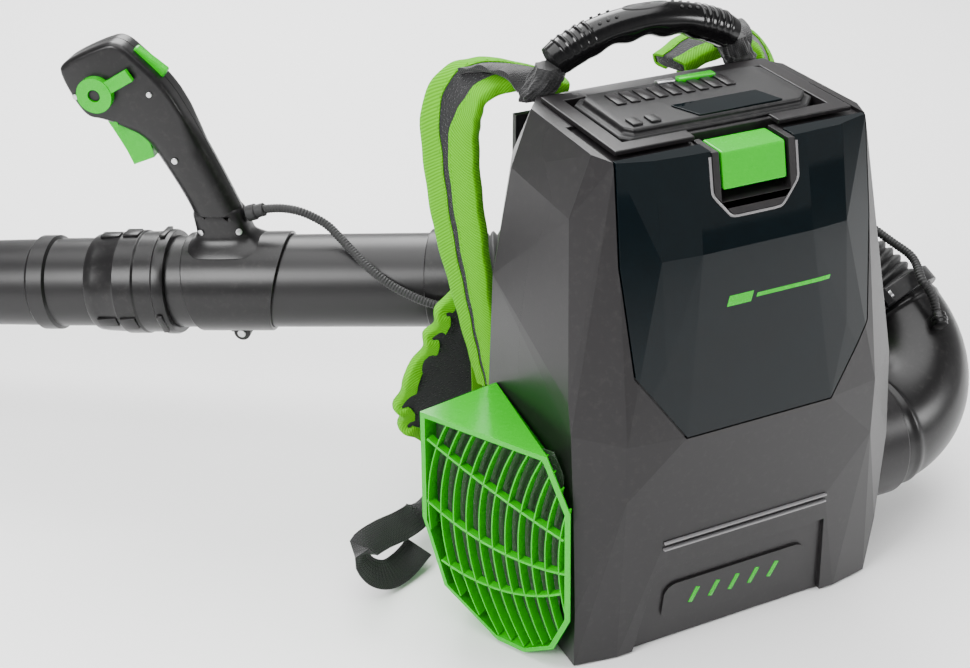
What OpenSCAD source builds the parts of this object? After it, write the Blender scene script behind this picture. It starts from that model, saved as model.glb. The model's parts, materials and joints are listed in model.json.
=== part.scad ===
// Backpack leaf blower: battery pack housing with an in-line fan, harness,
// elbow, flexible hose and hand wand. Millimetres, +Z up, origin at the centre
// of the pack's underside, the wearer on the +Y side.

/* [Pack housing] */
// Width of the pack across the outer corners of its feet
pack_w = 300; // [296:1:304]
// Height of the housing's top rim
pack_h = 440; // [436:1:444]
// Wall of the moulded front and rear covers
cover_wall = 5; // [4:0.5:6]
// Gap between faces of neighbouring pieces
gap = 0.3; // [0.2:0.05:0.5]

/* [Fan] */
// Height of the fan axis above the ground
fan_z = 88; // [86:1:92]
// Inner radius of the fan duct
duct_r = 56; // [54:1:58]
// Number of impeller blades
blade_count = 9; // [5:1:13]
// Number of stator vanes that hold the motor
vane_count = 7; // [5:1:11]

/* [Battery] */
// Width of the battery pack
battery_w = 178; // [172:1:180]
// Depth of the battery pack, front to back
battery_d = 84; // [80:1:86]
// Height of the battery case below its cap
battery_h = 186; // [150:2:188]

/* [Elbow and hose] */
// Radius of the elbow's bend at its centre line
elbow_bend = 86; // [80:1:90]
// Angle that the elbow turns through
elbow_turn = 105; // [95:1:110]
// Outer radius of the elbow tube
elbow_r = 54; // [52:1:54]
// Outer radius of the flexible hose over its ribs
hose_r = 46; // [44:1:47]

/* [Wand] */
// Outer radius of the handle tube
tube_r = 46; // [45:0.5:46]
// Wall of the blow tubes
tube_wall = 2.5; // [2:0.5:3]
// Downward slope of the wand at rest
wand_slope = 5; // [0:1:5]
// Compass angle of the wand about the vertical, measured from +X
wand_yaw = 146; // [144:1:148]
// Inner radius at the nozzle's mouth
nozzle_r = 38; // [34:1:40]

/* [Hidden] */
$fn = 64;
half_w = pack_w / 2;
fan_y = -30;
tube_in = tube_r - tube_wall;
split_y = -5;
cable_r = 4.5;

// ---------- housing form ----------
// Corner points of the right half, [half width, y, z]; the left half is mirrored.
BODY_EDGE = [
    [half_w, -110, 0], [112, -116, 0], [half_w, 62, 0], [128, 84, 0],
    [half_w + 2, -112, 60], [80, -127, 118], [half_w + 4, -108, 150], [118, -128, 172],
    [half_w + 4, 52, 150], [68, -131, 222], [118, -124, 222], [half_w + 3, -97, 226],
    [half_w + 2, -89, 252], [109, -111, 277], [84, -119, 282], [half_w + 2, 46, 300],
    [130, 78, 300], [half_w - 9, -68, 332], [half_w - 5, 42, 340], [114, -90, 362],
    [84, -103, 366], [50, -106, 366], [half_w - 14, -52, 390], [half_w - 13, 44, 394],
    [122, 72, 394], [112, -75, pack_h], [84, -83, pack_h], [48, -86, pack_h],
    [120, -54, pack_h], [119, 46, pack_h], [104, 66, pack_h]
];
function inset(p, w) = [
    p[0] * (1 - w / half_w), -20 + (p[1] + 20) * (1 - w / 92), 220 + (p[2] - 220) * (1 - w / 220)
];
function both_sides(list) = concat(list, [for (p = list) [-p[0], p[1], p[2]]]);

// Solid of the housing, w millimetres inside its outer faces
module body_form(w) {
    points = both_sides([for (p = BODY_EDGE) inset(p, w)]);
    hull() polyhedron(points = points, faces = [for (i = [2:len(points) - 1]) [0, i - 1, i]]);
}

// Everything in front of the parting line; its jog follows the upper facets
module front_region() {
    translate([-300, 0, 0]) rotate([90, 0, 90]) linear_extrude(600)
        polygon([[-300, 1], [split_y, 1], [split_y, 336], [-28, 390], [14, 424], [8, 500],
            [-300, 500]]);
}
module rear_region() {
    translate([-300, 0, 0]) rotate([90, 0, 90]) linear_extrude(600)
        polygon([[300, 1], [split_y, 1], [split_y, 336], [-28, 390], [14, 424], [8, 500],
            [300, 500]]);
}
module along_x(x0, x1) translate([x0, fan_y, fan_z]) rotate([0, 90, 0]) linear_extrude(x1 - x0)
    children();
module fan_holes() along_x(-200, 200) circle(duct_r + 8.3);
module battery_mouth(grow) translate([-96 - grow, -55 - grow, 400])
    cube([192 + 2 * grow, 101 + 2 * grow, 80]);

PANEL = [
    [-111, 452], [-113.5, 362], [-108, 277], [-68, 222],
    [68, 222], [108, 277], [113.5, 362], [111, 452]
];
module panel_prism(grow) rotate([90, 0, 0]) linear_extrude(300)
    offset(delta = grow) polygon(PANEL);
BUTTON_CUT = [[-37, 462], [-37, 408], [-22, 391], [22, 391], [37, 408], [37, 462]];
module button_prism(grow) rotate([90, 0, 0]) linear_extrude(300)
    offset(delta = grow) polygon(BUTTON_CUT);

// Tilted slot in which the badge panel lies, between the feet
module badge_recess() translate([0, -112, 6]) rotate([6.1, 0, 0]) rotate([90, 0, 0])
    linear_extrude(30) polygon([[-99, -20], [99, -20], [84, 84.5], [-84, 84.5]]);

// Heights of the two trim lines, and the rear face's depth at a height
step_z = [112, 118.5];
function back_face(z) = 84 - 0.02 * z;
module screw_places() for (x = [-118, 118]) for (z = [40, 200, 330])
    translate([x, back_face(z) - 3, z]) rotate([-90, 0, 0]) children();
module front_cover() color("#3b383a") difference() {
    intersection() {
        body_form(0);
        front_region();
    }
    body_form(cover_wall);
    translate([-half_w + 8, -100, -5]) cube([pack_w - 16, 100, 12]);
    intersection() {
        panel_prism(1.5);
        difference() {
            body_form(-5);
            body_form(2.8);
        }
    }
    button_prism(0);
    battery_mouth(2);
    fan_holes();
    badge_recess();
    for (z = step_z) translate([-80.3, -131, z - gap]) cube([160.6, 6, 1.8 + 2 * gap]);
}
module rear_cover() color("#333134") difference() {
    intersection() {
        body_form(0);
        rear_region();
    }
    body_form(cover_wall);
    translate([-half_w + 8, -60, -5]) cube([pack_w - 16, 138, 12]);
    battery_mouth(2);
    fan_holes();
    screw_places() cylinder(r = 4 + gap, h = 60, center = true);
}
module gloss_panel() color("#0a1116") difference() {
    intersection() {
        body_form(0);
        panel_prism(0);
    }
    body_form(2.5);
    button_prism(gap);
    battery_mouth(16);
}

// ---------- battery opening ----------
module round_rect(w, d, r) offset(r) offset(-r) square([w, d], center = true);
module top_bezel() color("#2a282a") translate([0, -4.5, 0]) difference() {
    union() {
        translate([0, 0, pack_h]) linear_extrude(4) difference() {
            square([212, 120], center = true);
            translate([0, -68, 0]) square([75, 60], center = true);
        }
        translate([0, 0, pack_h - 34]) linear_extrude(36) square([191, 100], center = true);
    }
    translate([0, 0, 380]) linear_extrude(100) square([184, 92], center = true);
}
module button_bezel() color("#2d2b2d") difference() {
    intersection() {
        body_form(-1);
        button_prism(-gap);
        translate([-60, -120, 380]) cube([120, 60, pack_h - 381]);
    }
    translate([-31, -130, 402]) cube([62, 90, 60]);
}
module battery_bay() color("#262527") difference() {
    translate([-93.5, -52, 224]) cube([187, 95, 179]);
    translate([-90.5, -49, 228]) cube([181, 89, 200]);
    for (x = [-60, 60]) translate([x, -4.5, 220]) cylinder(r = 5, h = 20);
}
module battery_connector() color("#1c1b1c") {
    translate([-30, -20, 228]) cube([60, 31, 8]);
    for (x = [-22:11:22]) translate([x - 1, -14, 236]) cube([2, 18, 6]);
}

// ---------- base ----------
module base_tray() color("#2b292b") difference() {
    union() {
        translate([-138, -98, 0]) cube([276, 172, 5]);
        for (x = [-120, -40, 40, 120]) translate([x - 2, -90, 5]) cube([4, 156, 6]);
    }
    for (x = [-110, 110]) for (y = [-80, 60]) translate([x, y, -1]) cylinder(r = 8, h = 3.6);
}
module rubber_feet() color("#151415") for (x = [-110, 110]) for (y = [-80, 60])
    translate([x, y, 0]) cylinder(r = 7.8, h = 2.5);
module badge_plate() color("#2c2a2c") translate([0, -112, 6]) rotate([6.1, 0, 0])
    rotate([90, 0, 0]) difference() {
        translate([0, 40, 0.1]) linear_extrude(2) round_rect(142, 42, 12);
        for (x = [-40:20:40]) translate([x, 40, 1]) rotate([0, 0, -20])
            cube([5, 18, 4], center = true);
    }
module step_trim() color("#8b898c") for (z = step_z)
    translate([-80, -129.3, z]) cube([160, 4, 1.8]);

// ---------- intake guard ----------
GUARD_FACE = [
    [150, 208], [27, 211], [4, 165], [1, 58], [16, 21], [45, 3], [72, 3], [128, 37], [150, 102]
];
GUARD_BASE = [
    [56, 186], [33, 203], [-61, 191], [-101, 156], [-106, 51], [-92, 16], [-78, 3], [34, 3],
    [56, 30]
];
guard_pos = [-159, -118, 0];
guard_yaw = 120;
// Local X runs back along the face, local Y up, local Z inwards
module guard_frame() translate(guard_pos) rotate([0, 0, guard_yaw]) rotate([90, 0, 0])
    children();
// Loft from the open face to the housing's side; reach runs it past both ends
module guard_loft(w, reach) hull() {
    guard_frame() translate([0, 0, -reach]) linear_extrude(1) offset(delta = -w)
        polygon(GUARD_FACE);
    translate([-half_w - 5.6 + reach, 0, 0]) rotate([90, 0, 90]) linear_extrude(1)
        offset(delta = -w) polygon(GUARD_BASE);
}
module intake_guard() color("#3fdc00") difference() {
    guard_loft(0, 0);
    guard_loft(4.5, 3);
}
module bar_arc(r, w) difference() {
    circle(r + w / 2, $fn = 180);
    circle(r - w / 2, $fn = 180);
}
// Cross bars as circles: centre along, centre up, radius
CROSS_BARS = [[-165.1, 860.1, 744.5], [55.5, 294, 196.3], [91.9, 197.4, 140.9]];
module intake_louvres() color("#35bd04") guard_frame() translate([0, 0, 0.6])
    linear_extrude(5) intersection() {
        offset(delta = -8) polygon(GUARD_FACE);
        translate([18, 0]) square([150, 220]);
        union() {
            for (i = [0:10]) translate([14 + i * 13 - 195, 118]) bar_arc(195, 1.8);
            for (b = CROSS_BARS) translate([b[0], b[1]]) bar_arc(b[2], 2.6);
        }
    }

// ---------- fan ----------
module fan_duct() color("#3a3a3c") difference() {
    union() {
        along_x(-136, 144) circle(duct_r + 3);
        along_x(-140, -134) circle(duct_r + 7.8);
        translate([-60, fan_y - 8, 11.5]) cube([120, 16, 30]);
    }
    along_x(-150, 150) circle(duct_r);
}
module motor_mount() color("#303033") {
    along_x(20, 60) difference() {
        circle(26);
        circle(22 + gap);
    }
    intersection() {
        along_x(24, 56) circle(duct_r - gap);
        for (i = [0:vane_count - 1]) translate([24, fan_y, fan_z]) rotate([i * 360 / vane_count, 0, 0])
            translate([0, -1.25, 25.5]) cube([32, 2.5, 34]);
    }
}
module motor_can() color("#9a9ca0") difference() {
    along_x(2, 74) circle(22);
    along_x(6, 70) circle(19);
    along_x(0, 80) circle(6 + gap);
}
module motor_bearings() color("#c8cacd") {
    for (x = [8, 60]) difference() {
        along_x(x, x + 7) circle(11);
        along_x(x - 1, x + 8) circle(4.05);
    }
    difference() {
        along_x(15.2, 16.6) circle(18.9);
        along_x(15, 17) circle(10.8);
    }
}
module rotor_shaft() color("#d6d8da") {
    along_x(-30, 68) circle(4);
    along_x(24, 54) difference() {
        circle(14);
        circle(3.9);
    }
}
module impeller() color("#1f1f21") {
    translate([-44, fan_y, fan_z]) rotate([0, 90, 0]) rotate_extrude()
        polygon([[0, 0], [12, 3], [20, 9], [24, 18], [24, 42], [20, 42], [20, 22], [4.05, 22],
            [4.05, 14], [0, 13.5]]);
    for (i = [0:blade_count - 1]) translate([-14, fan_y, fan_z]) rotate([i * 360 / blade_count, 0, 0])
        translate([0, 0, 23]) rotate([0, 0, 38]) translate([-14, -1.2, 0])
            cube([28, 2.4, duct_r - 25.5]);
}
module outlet_flange() color("#2c2b2d") difference() {
    union() {
        along_x(half_w + 4.5, half_w + 9) circle(duct_r + 14);
        along_x(144.3, half_w + 8) circle(duct_r + 7.8);
        along_x(half_w + 8, 200) circle(duct_r - 2);
    }
    along_x(140, 210) circle(duct_r - 5);
}
module flange_seal() color("#111111") along_x(half_w + 9.1, half_w + 13) difference() {
    circle(duct_r + 3);
    circle(duct_r - 1.7);
}
module controller_board() color("#1d5a34") {
    translate([-80, -44, 178]) cube([160, 76, 2]);
    for (x = [-60, 60]) translate([x - 4, -8, 150]) cube([8, 8, 28]);
    for (i = [0:7]) translate([-64 + i * 6, -20, 180]) cube([3, 42, 16]);
}
module board_capacitors() color("#26282e") for (i = [0:3]) translate([10 + i * 17, -4, 180.1])
    cylinder(r = 7, h = 24);

// ---------- harness ----------
module back_frame() color("#242325") difference() {
    translate([-112, 86.5, 34]) cube([224, 6, 384]);
    for (z = [90, 180, 270]) translate([-70, 80, z]) cube([140, 20, 50]);
    for (x = [-96, 96]) for (z = [60, 290]) translate([x, 100, z]) rotate([90, 0, 0])
        cylinder(r = 3.2, h = 30);
}
module isolation_mounts() color("#161616") for (x = [-96, 96]) for (z = [60, 290])
    translate([x, 86.4, z]) rotate([90, 0, 0]) cylinder(r = 12, h = 86.3 - back_face(z - 12));
module back_pad() color("#1a1a1a") translate([0, 93, 0]) hull() {
    translate([-94, 0, 60]) cube([188, 10, 340]);
    translate([-84, 0, 70]) cube([168, 22, 320]);
}

// Strap stations: centre, width direction, width. The left strap hangs turned on
// edge; the right one lies flat against the pack, behind the hose.
STRAP_LEFT = [
    [[-54, 120, 425], [-0.1, 0.99, 0], 44], [[-84, 125, 434], [-0.1, 0.99, 0], 52],
    [[-113, 130, 438], [-0.05, 1, 0.05], 58], [[-135, 135, 429], [-0.25, 0.96, 0], 60],
    [[-146, 142, 400], [-0.4, 0.91, 0], 60], [[-144, 144, 350], [-0.42, 0.9, 0], 58],
    [[-137, 142, 290], [-0.42, 0.9, 0], 56], [[-128, 137, 230], [-0.4, 0.91, 0], 46],
    [[-121, 131, 180], [-0.36, 0.93, 0], 38], [[-115, 124, 140], [-0.3, 0.95, 0], 34]
];
STRAP_RIGHT = [
    [[54, 120, 425], [0.1, 0.99, 0], 44], [[84, 125, 434], [0.1, 0.99, 0], 52],
    [[116, 127, 437], [0.1, 1, 0.05], 56], [[142, 123, 426], [0.5, 0.87, 0], 58],
    [[151, 116, 396], [0.8, 0.6, 0], 58], [[149, 109, 350], [0.95, 0.3, 0], 58],
    [[143, 105, 290], [0.98, 0.2, 0], 56], [[137, 106, 230], [0.98, 0.2, 0], 50],
    [[128, 107, 180], [0.97, 0.25, 0], 44], [[118, 112, 140], [0.9, 0.44, 0], 34]
];
strap_t = 13;
function unit(v) = v / norm(v);
function heading(list, i) = unit(list[min(i + 1, len(list) - 1)] - list[max(i - 1, 0)]);
function strap_ring(strap, i) = let (c = strap[i][0], w = unit(strap[i][1]),
    n = cross(heading([for (s = strap) s[0]], i), w))
    [for (k = [[-1, -1], [1, -1], [1, 1], [-1, 1]])
        c + w * k[0] * strap[i][2] / 2 + n * k[1] * strap_t / 2];
// A four-cornered face as two triangles
function split(a, b, c, d) = [[a, b, c], [a, c, d]];
// Closed skin over a list of rings that hold the same number of points
module skin(rings) {
    m = len(rings[0]);
    n = len(rings);
    polyhedron(
        points = [for (r = rings) for (p = r) p],
        faces = concat(
            [[for (i = [m - 1:-1:0]) i]],
            [for (j = [0:n - 2]) for (i = [0:m - 1])
                for (f = split(j * m + i, j * m + (i + 1) % m, (j + 1) * m + (i + 1) % m,
                    (j + 1) * m + i)) f],
            [[for (i = [0:m - 1]) (n - 1) * m + i]]));
}
module shoulder_strap(strap) color("#1b1b1b")
    skin([for (i = [0:len(strap) - 1]) strap_ring(strap, i)]);
module shoulder_strap_left() shoulder_strap(STRAP_LEFT);
module shoulder_strap_right() shoulder_strap([for (i = [len(STRAP_RIGHT) - 1:-1:0]) STRAP_RIGHT[i]]);
module strap_adjusters() color("#151515") for (s = [-1, 1]) {
    translate([s * 113 - 4, 108, 118]) cube([8, 30, 14]);
    translate([s * 110 - 1.2, 100, 74]) cube([2.4, 26, 44]);
    translate([s * 110 - 4, 96, 58]) cube([8, 34, 16]);
}
WING_LEFT = [
    [-104, 60], [-104, 160], [-118, 222], [-134, 226], [-150, 204], [-172, 158], [-196, 120],
    [-192, 84], [-168, 54]
];
WING_RIGHT = [[104, 48], [104, 140], [150, 140], [178, 116], [170, 66], [150, 48]];
module hip_belt_left() color("#1b1b1b") {
    translate([0, 176, 0]) rotate([90, 0, 0]) linear_extrude(14) polygon(WING_LEFT);
    translate([-104, 93.2, 70]) cube([8, 82, 84]);
}
module hip_belt_right() color("#1b1b1b") {
    translate([0, 160, 0]) rotate([90, 0, 0]) linear_extrude(14) polygon(WING_RIGHT);
    translate([96, 93.2, 60]) cube([8, 66, 70]);
}
TAIL = [
    [-172, 144, 82], [-177, 132, 60], [-187, 116, 42], [-202, 102, 33], [-224, 86, 38],
    [-250, 71, 46], [-270, 60, 48], [-277, 53, 42], [-268, 51, 25], [-252, 54, 14],
    [-233, 63, 12], [-212, 76, 16]
];
module belt_tail() color("#121212") skin([for (i = [0:len(TAIL) - 1])
    let (d = heading(TAIL, i), w = unit([0.5, 0.8, 0.3] - d * (d * [0.5, 0.8, 0.3])), n = cross(d, w))
    [for (k = [[-1, -1], [1, -1], [1, 1], [-1, 1]]) TAIL[i] + w * k[0] * 14 + n * k[1] * 1.2]]);

// ---------- fasteners ----------
module pan_screw(r, h) {
    cylinder(r = r, h = 2.4);
    translate([0, 0, -h]) cylinder(r = r * 0.5, h = h + 0.1);
}
module cover_screws() color("#6d6f72") screw_places() pan_screw(4, 12);

// ---------- release button ----------
module release_button() color("#3fdc00") {
    difference() {
        intersection() {
            body_form(-0.5);
            translate([-28.5, -120, 410]) cube([57, 60, pack_h - 412]);
        }
        body_form(9.5);
    }
    translate([-14, -76, 416]) cube([28, 14, 8]);
}
module button_spring() color("#b9bcc0") for (x = [-21, 21]) translate([x, -54.8, 425])
    rotate([90, 0, 0]) cylinder(r = 3.4, h = 17);

// ---------- battery ----------
module battery_case() color("#1d1c1e") translate([-battery_w / 2, -battery_d / 2 - 4.5, 0])
    difference() {
        translate([0, 0, pack_h - 4 - battery_h]) cube([battery_w, battery_d, battery_h]);
        translate([2.5, 2.5, pack_h - 4 - battery_h + 2.5])
            cube([battery_w - 5, battery_d - 5, battery_h - 5]);
        for (x = [21, battery_w - 29]) translate([x, -1, pack_h - 60]) cube([8, 3.2, 50]);
        translate([battery_w / 2 - 34, battery_d / 2 - 17, pack_h - 5 - battery_h])
            cube([68, 34, 2.4]);
    }
module battery_cap() color("#2f2e30") translate([0, -4.5, pack_h - 3.9]) {
    linear_extrude(8) polygon([[-90, -36], [-82, -44], [76, -44], [90, -30], [90, 34], [80, 44],
        [-80, 44], [-90, 34]]);
    translate([0, 0, 8]) linear_extrude(5) polygon([[-84, -32], [-78, -40], [72, -40], [84, -28],
        [84, 30], [76, 39], [-76, 39], [-84, 30]]);
}
module cap_label() color("#111112") translate([0, -4.5, pack_h + 9.1]) linear_extrude(1.2)
    polygon([[-20, -38], [56, -38], [48, -12], [-30, -12]]);
module battery_contacts() color("#c9a04a") for (x = [-22:11:22])
    translate([x - 2, -11, pack_h - battery_h - 3.7]) cube([4, 12, 1]);

// ---------- elbow and hose ----------
elbow_x = 206;
elbow_lean = 35;
// The control cable's port on the elbow, its height over the bend's centre line, and the
// angle by which the clamp's ears turn away from the cable
port_turn = 75;
port_h = elbow_r + 6;
clamp_turn = -38;
bend_up = [0, cos(elbow_lean), sin(elbow_lean)];
elbow_start = [elbow_x, fan_y, fan_z];
elbow_centre = elbow_start + elbow_bend * bend_up;
function elbow_point(a) = elbow_centre + elbow_bend * (sin(a) * [1, 0, 0] - cos(a) * bend_up);
function elbow_dir(a) = cos(a) * [1, 0, 0] + sin(a) * bend_up;
module elbow_frame() translate(elbow_centre) rotate([elbow_lean, 0, 0]) rotate([0, 0, -90])
    children();
module elbow() color("#2c2b2d") {
    elbow_frame() rotate([0, 0, port_turn]) translate([elbow_bend, 0, port_h])
        rotate([-90, 0, 0]) cylinder(r = 7, h = 12);
    elbow_frame() rotate_extrude(angle = elbow_turn, $fn = 96) translate([elbow_bend, 0])
        difference() {
            circle(elbow_r);
            circle(elbow_r - 3);
        }
}
module elbow_collar() color("#232224") along_x(172, elbow_x) difference() {
    circle(duct_r + 3);
    circle(duct_r - 1.6);
}
module hose_clamp() color("#1d1c1e") {
    elbow_frame() rotate([0, 0, elbow_turn]) translate([elbow_bend, 0, 0]) rotate([-90, 0, 0])
        rotate([0, 0, clamp_turn]) difference() {
            union() {
                cylinder(r = elbow_r + 2, h = 16);
                translate([-9, -elbow_r - 14, 0]) cube([18, 16, 16]);
            }
            translate([0, 0, -1]) cylinder(r = hose_r + 1.2, h = 20);
            translate([-1, -elbow_r - 15, -1]) cube([2, 18, 20]);
        }
}
module clamp_screw() color("#b9bbbe") elbow_frame() rotate([0, 0, elbow_turn])
    translate([elbow_bend, 0, 0]) rotate([-90, 0, 0]) rotate([0, 0, clamp_turn])
        translate([9.1, -elbow_r - 8, 8]) rotate([0, 90, 0]) cylinder(r = 3.6, h = 2.6);

wand_pos = [-111, 250, 187];
module wand() translate(wand_pos) rotate([0, wand_slope, wand_yaw]) children();
wand_dir = [cos(wand_slope) * cos(wand_yaw), cos(wand_slope) * sin(wand_yaw), -sin(wand_slope)];
hose_from = elbow_point(elbow_turn) + elbow_dir(elbow_turn) * 0.4;
hose_to = wand_pos - wand_dir * 32;
HOSE_REACH = [200, 130];
function hose_point(t) = pow(1 - t, 3) * hose_from
    + 3 * pow(1 - t, 2) * t * (hose_from + HOSE_REACH[0] * elbow_dir(elbow_turn))
    + 3 * (1 - t) * t * t * (hose_to - HOSE_REACH[1] * wand_dir) + pow(t, 3) * hose_to;
function hose_dir(t) = t <= 0 ? elbow_dir(elbow_turn) : t >= 1 ? wand_dir
    : unit(hose_point(t + 0.01) - hose_point(t - 0.01));
function ring(c, d, r, n) = let (u = unit(cross(d, [0, 0, 1])), v = cross(d, u))
    [for (i = [0:n - 1]) c + r * (cos(i * 360 / n) * u + sin(i * 360 / n) * v)];
HOSE_RINGS = 16;
// Outer wall from end to end, then the inner wall back again, closed into one skin
module hose() color("#161517") {
    sides = 20;
    steps = [for (i = [0:HOSE_RINGS]) i / HOSE_RINGS];
    walls = concat(
        [for (t = steps) ring(hose_point(t), hose_dir(t), hose_r, sides)],
        [for (i = [HOSE_RINGS:-1:0]) ring(hose_point(steps[i]), hose_dir(steps[i]), hose_r - 3, sides)]);
    n = len(walls);
    polyhedron(
        points = [for (r = walls) for (p = r) p],
        faces = [for (j = [0:n - 1]) for (i = [0:sides - 1])
            for (f = split(j * sides + i, j * sides + (i + 1) % sides,
                ((j + 1) % n) * sides + (i + 1) % sides, ((j + 1) % n) * sides + i)) f]);
}

// ---------- wand ----------
module along_wand(s0, s1) translate([s0, 0, 0]) rotate([0, 90, 0]) linear_extrude(s1 - s0)
    children();
module tube_piece(s0, s1, outer, inner) along_wand(s0, s1) difference() {
    circle(outer);
    circle(inner);
}
module hose_cuff() color("#1c1b1d") wand() {
    tube_piece(-31.6, -8, tube_r + 4, tube_in);
    tube_piece(-8, 6, tube_r + 4, tube_r + gap);
}
module handle_tube() color("#222123") wand() {
    tube_piece(-7.7, 339, tube_r, tube_in);
}
module handle_saddle() color("#262527") wand() difference() {
    union() {
        along_wand(158, 246) circle(tube_r + 4);
        translate([180, -17, 40]) cube([56, 34, 20]);
        translate([200, -9, -tube_r - 16]) cube([18, 18, 16]);
    }
    along_wand(150, 250) circle(tube_r + gap);
    translate([202, 0, -60]) rotate([90, 0, 0]) cylinder(r = 2.6, h = 40, center = true);
}
GRIP = [
    [183, 60.3], [188, 80], [205, 133], [224, 184], [236, 212], [262, 243], [273, 254], [285, 256],
    [333, 238], [338, 227], [322, 183], [303, 180], [283, 168], [270, 160], [256, 131],
    [240, 92], [236, 76], [235, 60.3]
];
BUTTON_POS = [253, 0, 230];
button_tilt = -42.8;
module grip_form(w) rotate([90, 0, 0]) linear_extrude(2 * w, center = true)
    offset(3) offset(-3) polygon(GRIP);
module grip_cuts() {
    translate([258, -8, 158]) cube([46, 16, 30]);
    translate([240, -8, 118]) cube([30, 16, 46]);
    translate([258, -12, 192]) cube([56, 24, 34]);
    translate([BUTTON_POS[0], 0, BUTTON_POS[2]]) rotate([0, button_tilt, 0])
        translate([-19, -5.5, -16]) cube([38, 11, 24]);
    translate([303, 0, 208]) rotate([-90, 0, 0]) cylinder(r = 5.3, h = 30);
    translate([292, 0, 176]) rotate([90, 0, 0]) cylinder(r = 3, h = 40, center = true);
}
module grip_half(s) wand() difference() {
    intersection() {
        grip_form(17);
        translate([100, s > 0 ? 0.05 : -40, 0]) cube([300, 39.95, 300]);
    }
    grip_cuts();
}
module grip_shell_left() color("#242325") grip_half(1);
module grip_shell_right() color("#242325") grip_half(-1);
module grip_screws() color("#c3c5c8") wand() {
    for (p = [[239, 138], [228, 68], [192, 68], [251, 205], [327, 204]])
        translate([p[0], 17.05, p[1]]) rotate([-90, 0, 0]) cylinder(r = 3.6, h = 1.8);
    translate([209, 9.1, -tube_r - 8]) rotate([-90, 0, 0]) cylinder(r = 4.4, h = 3);
}
module switch_module() color("#3a3a3d") wand() translate([272, -11.5, 194]) cube([24, 23, 20]);
module trigger() color("#3fdc00") wand() difference() {
    union() {
        rotate([90, 0, 0]) linear_extrude(14, center = true) polygon([[303, 176], [296, 160],
            [290, 145], [286, 131], [264, 138], [265, 150], [269, 166], [273, 182], [296, 184]]);
        translate([292, 0, 176]) rotate([90, 0, 0]) cylinder(r = 2.7, h = 32, center = true);
    }
}
module cruise_lever() color("#3fdc00") wand() translate([303, 0, 208]) difference() {
    union() {
        translate([0, 17.4, 0]) rotate([-90, 0, 0]) cylinder(r = 17, h = 8);
        translate([0, 2, 0]) rotate([-90, 0, 0]) cylinder(r = 5, h = 15.6);
        translate([0, 19.4, 0]) rotate([0, 206, 0]) translate([8, 0, -6]) cube([34, 5, 12]);
    }
    translate([0, 21, 0]) rotate([-90, 0, 0]) cylinder(r = 6, h = 10);
}
module turbo_button() color("#3fdc00") wand() translate([BUTTON_POS[0], 0, BUTTON_POS[2]])
    rotate([0, button_tilt, 0]) translate([-18, -5, -8]) cube([36, 10, 15]);
module cable_gland() color("#141415") wand() translate([183.5, 0, 74]) rotate([0, -76, 0])
    difference() {
        union() {
            cylinder(r = 8, h = 9);
            cylinder(r = 6.5, h = 18);
        }
        translate([0, 0, -1]) cylinder(r = cable_r + 0.05, h = 20);
    }
// Route of the control cable in the wand's own frame, from the gland over the tube's side
CABLE_WAND = [
    [180, 0, 75], [168, 0, 78], [156, 2, 80], [144, 3, 80], [130, 5, 78], [116, 6, 72],
    [102, 9, 64], [88, 18, 54], [75, 28, 45], [63, 37, 37], [49, 45, 28], [34, 50, 19],
    [18, 54, 12], [2, 57, 6], [-16, 58, 2], [-34, 57, 0]
];
function turn_y(p, a) = [p[0] * cos(a) + p[2] * sin(a), p[1], -p[0] * sin(a) + p[2] * cos(a)];
function turn_z(p, a) = [p[0] * cos(a) - p[1] * sin(a), p[0] * sin(a) + p[1] * cos(a), p[2]];
function wand_point(p) = wand_pos + turn_z(turn_y(p, wand_slope), wand_yaw);
// Then along the hose, working round from its side to its top
function hose_side(t, r, a) = let (d = hose_dir(t), u = unit(cross(d, [0, 0, 1])), v = cross(d, u))
    hose_point(t) + r * (cos(a) * u + sin(a) * v);
CABLE = concat(
    [for (p = CABLE_WAND) wand_point(p)],
    [for (i = [0:8]) let (t = 0.9 - i * 0.095) hose_side(t, 54, 180 + min(90, i * 22))],
    [hose_side(0.085, 57.5, 270), hose_side(0.04, 63, 270)],
    [for (a = [[106, 6.5], [99, 6], [92, 4.5], [87.5, 1.8], [85.2, 0.4], [83.9, 0]])
        elbow_point(a[0]) + cross([1, 0, 0], bend_up) * (port_h + a[1])]
);
module control_cable() color("#101011")
    skin([for (i = [0:len(CABLE) - 1]) ring(CABLE[i], heading(CABLE, i), cable_r, 8)]);

module lock_collar() color("#1e1d1f") wand() difference() {
    union() {
        along_wand(266, 350) circle(tube_r + 3.4);
        along_wand(266, 278) circle(tube_r + 6.8);
        along_wand(298, 320) circle(tube_r + 6.2);
        for (i = [0:2]) rotate([i * 120 - 25, 0, 0]) translate([322, -6, tube_r + 2]) cube([18, 12, 4]);
    }
    along_wand(250, 345) circle(tube_r + gap);
    along_wand(340, 360) circle(tube_r - 1);
}
module nozzle() color("#222123") wand() translate([346, 0, 0]) rotate([0, 90, 0])
    rotate_extrude() polygon([
        [tube_r - 1.3, 0], [tube_r - 1.3, 46], [tube_r + 2, 48], [tube_r + 2, 64], [tube_r - 2, 68],
        [nozzle_r + 3, 340], [nozzle_r + 5, 344], [nozzle_r + 5, 352], [nozzle_r, 352],
        [nozzle_r, 312], [tube_r - 5, 60], [tube_r - 4, 0]]);

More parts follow.
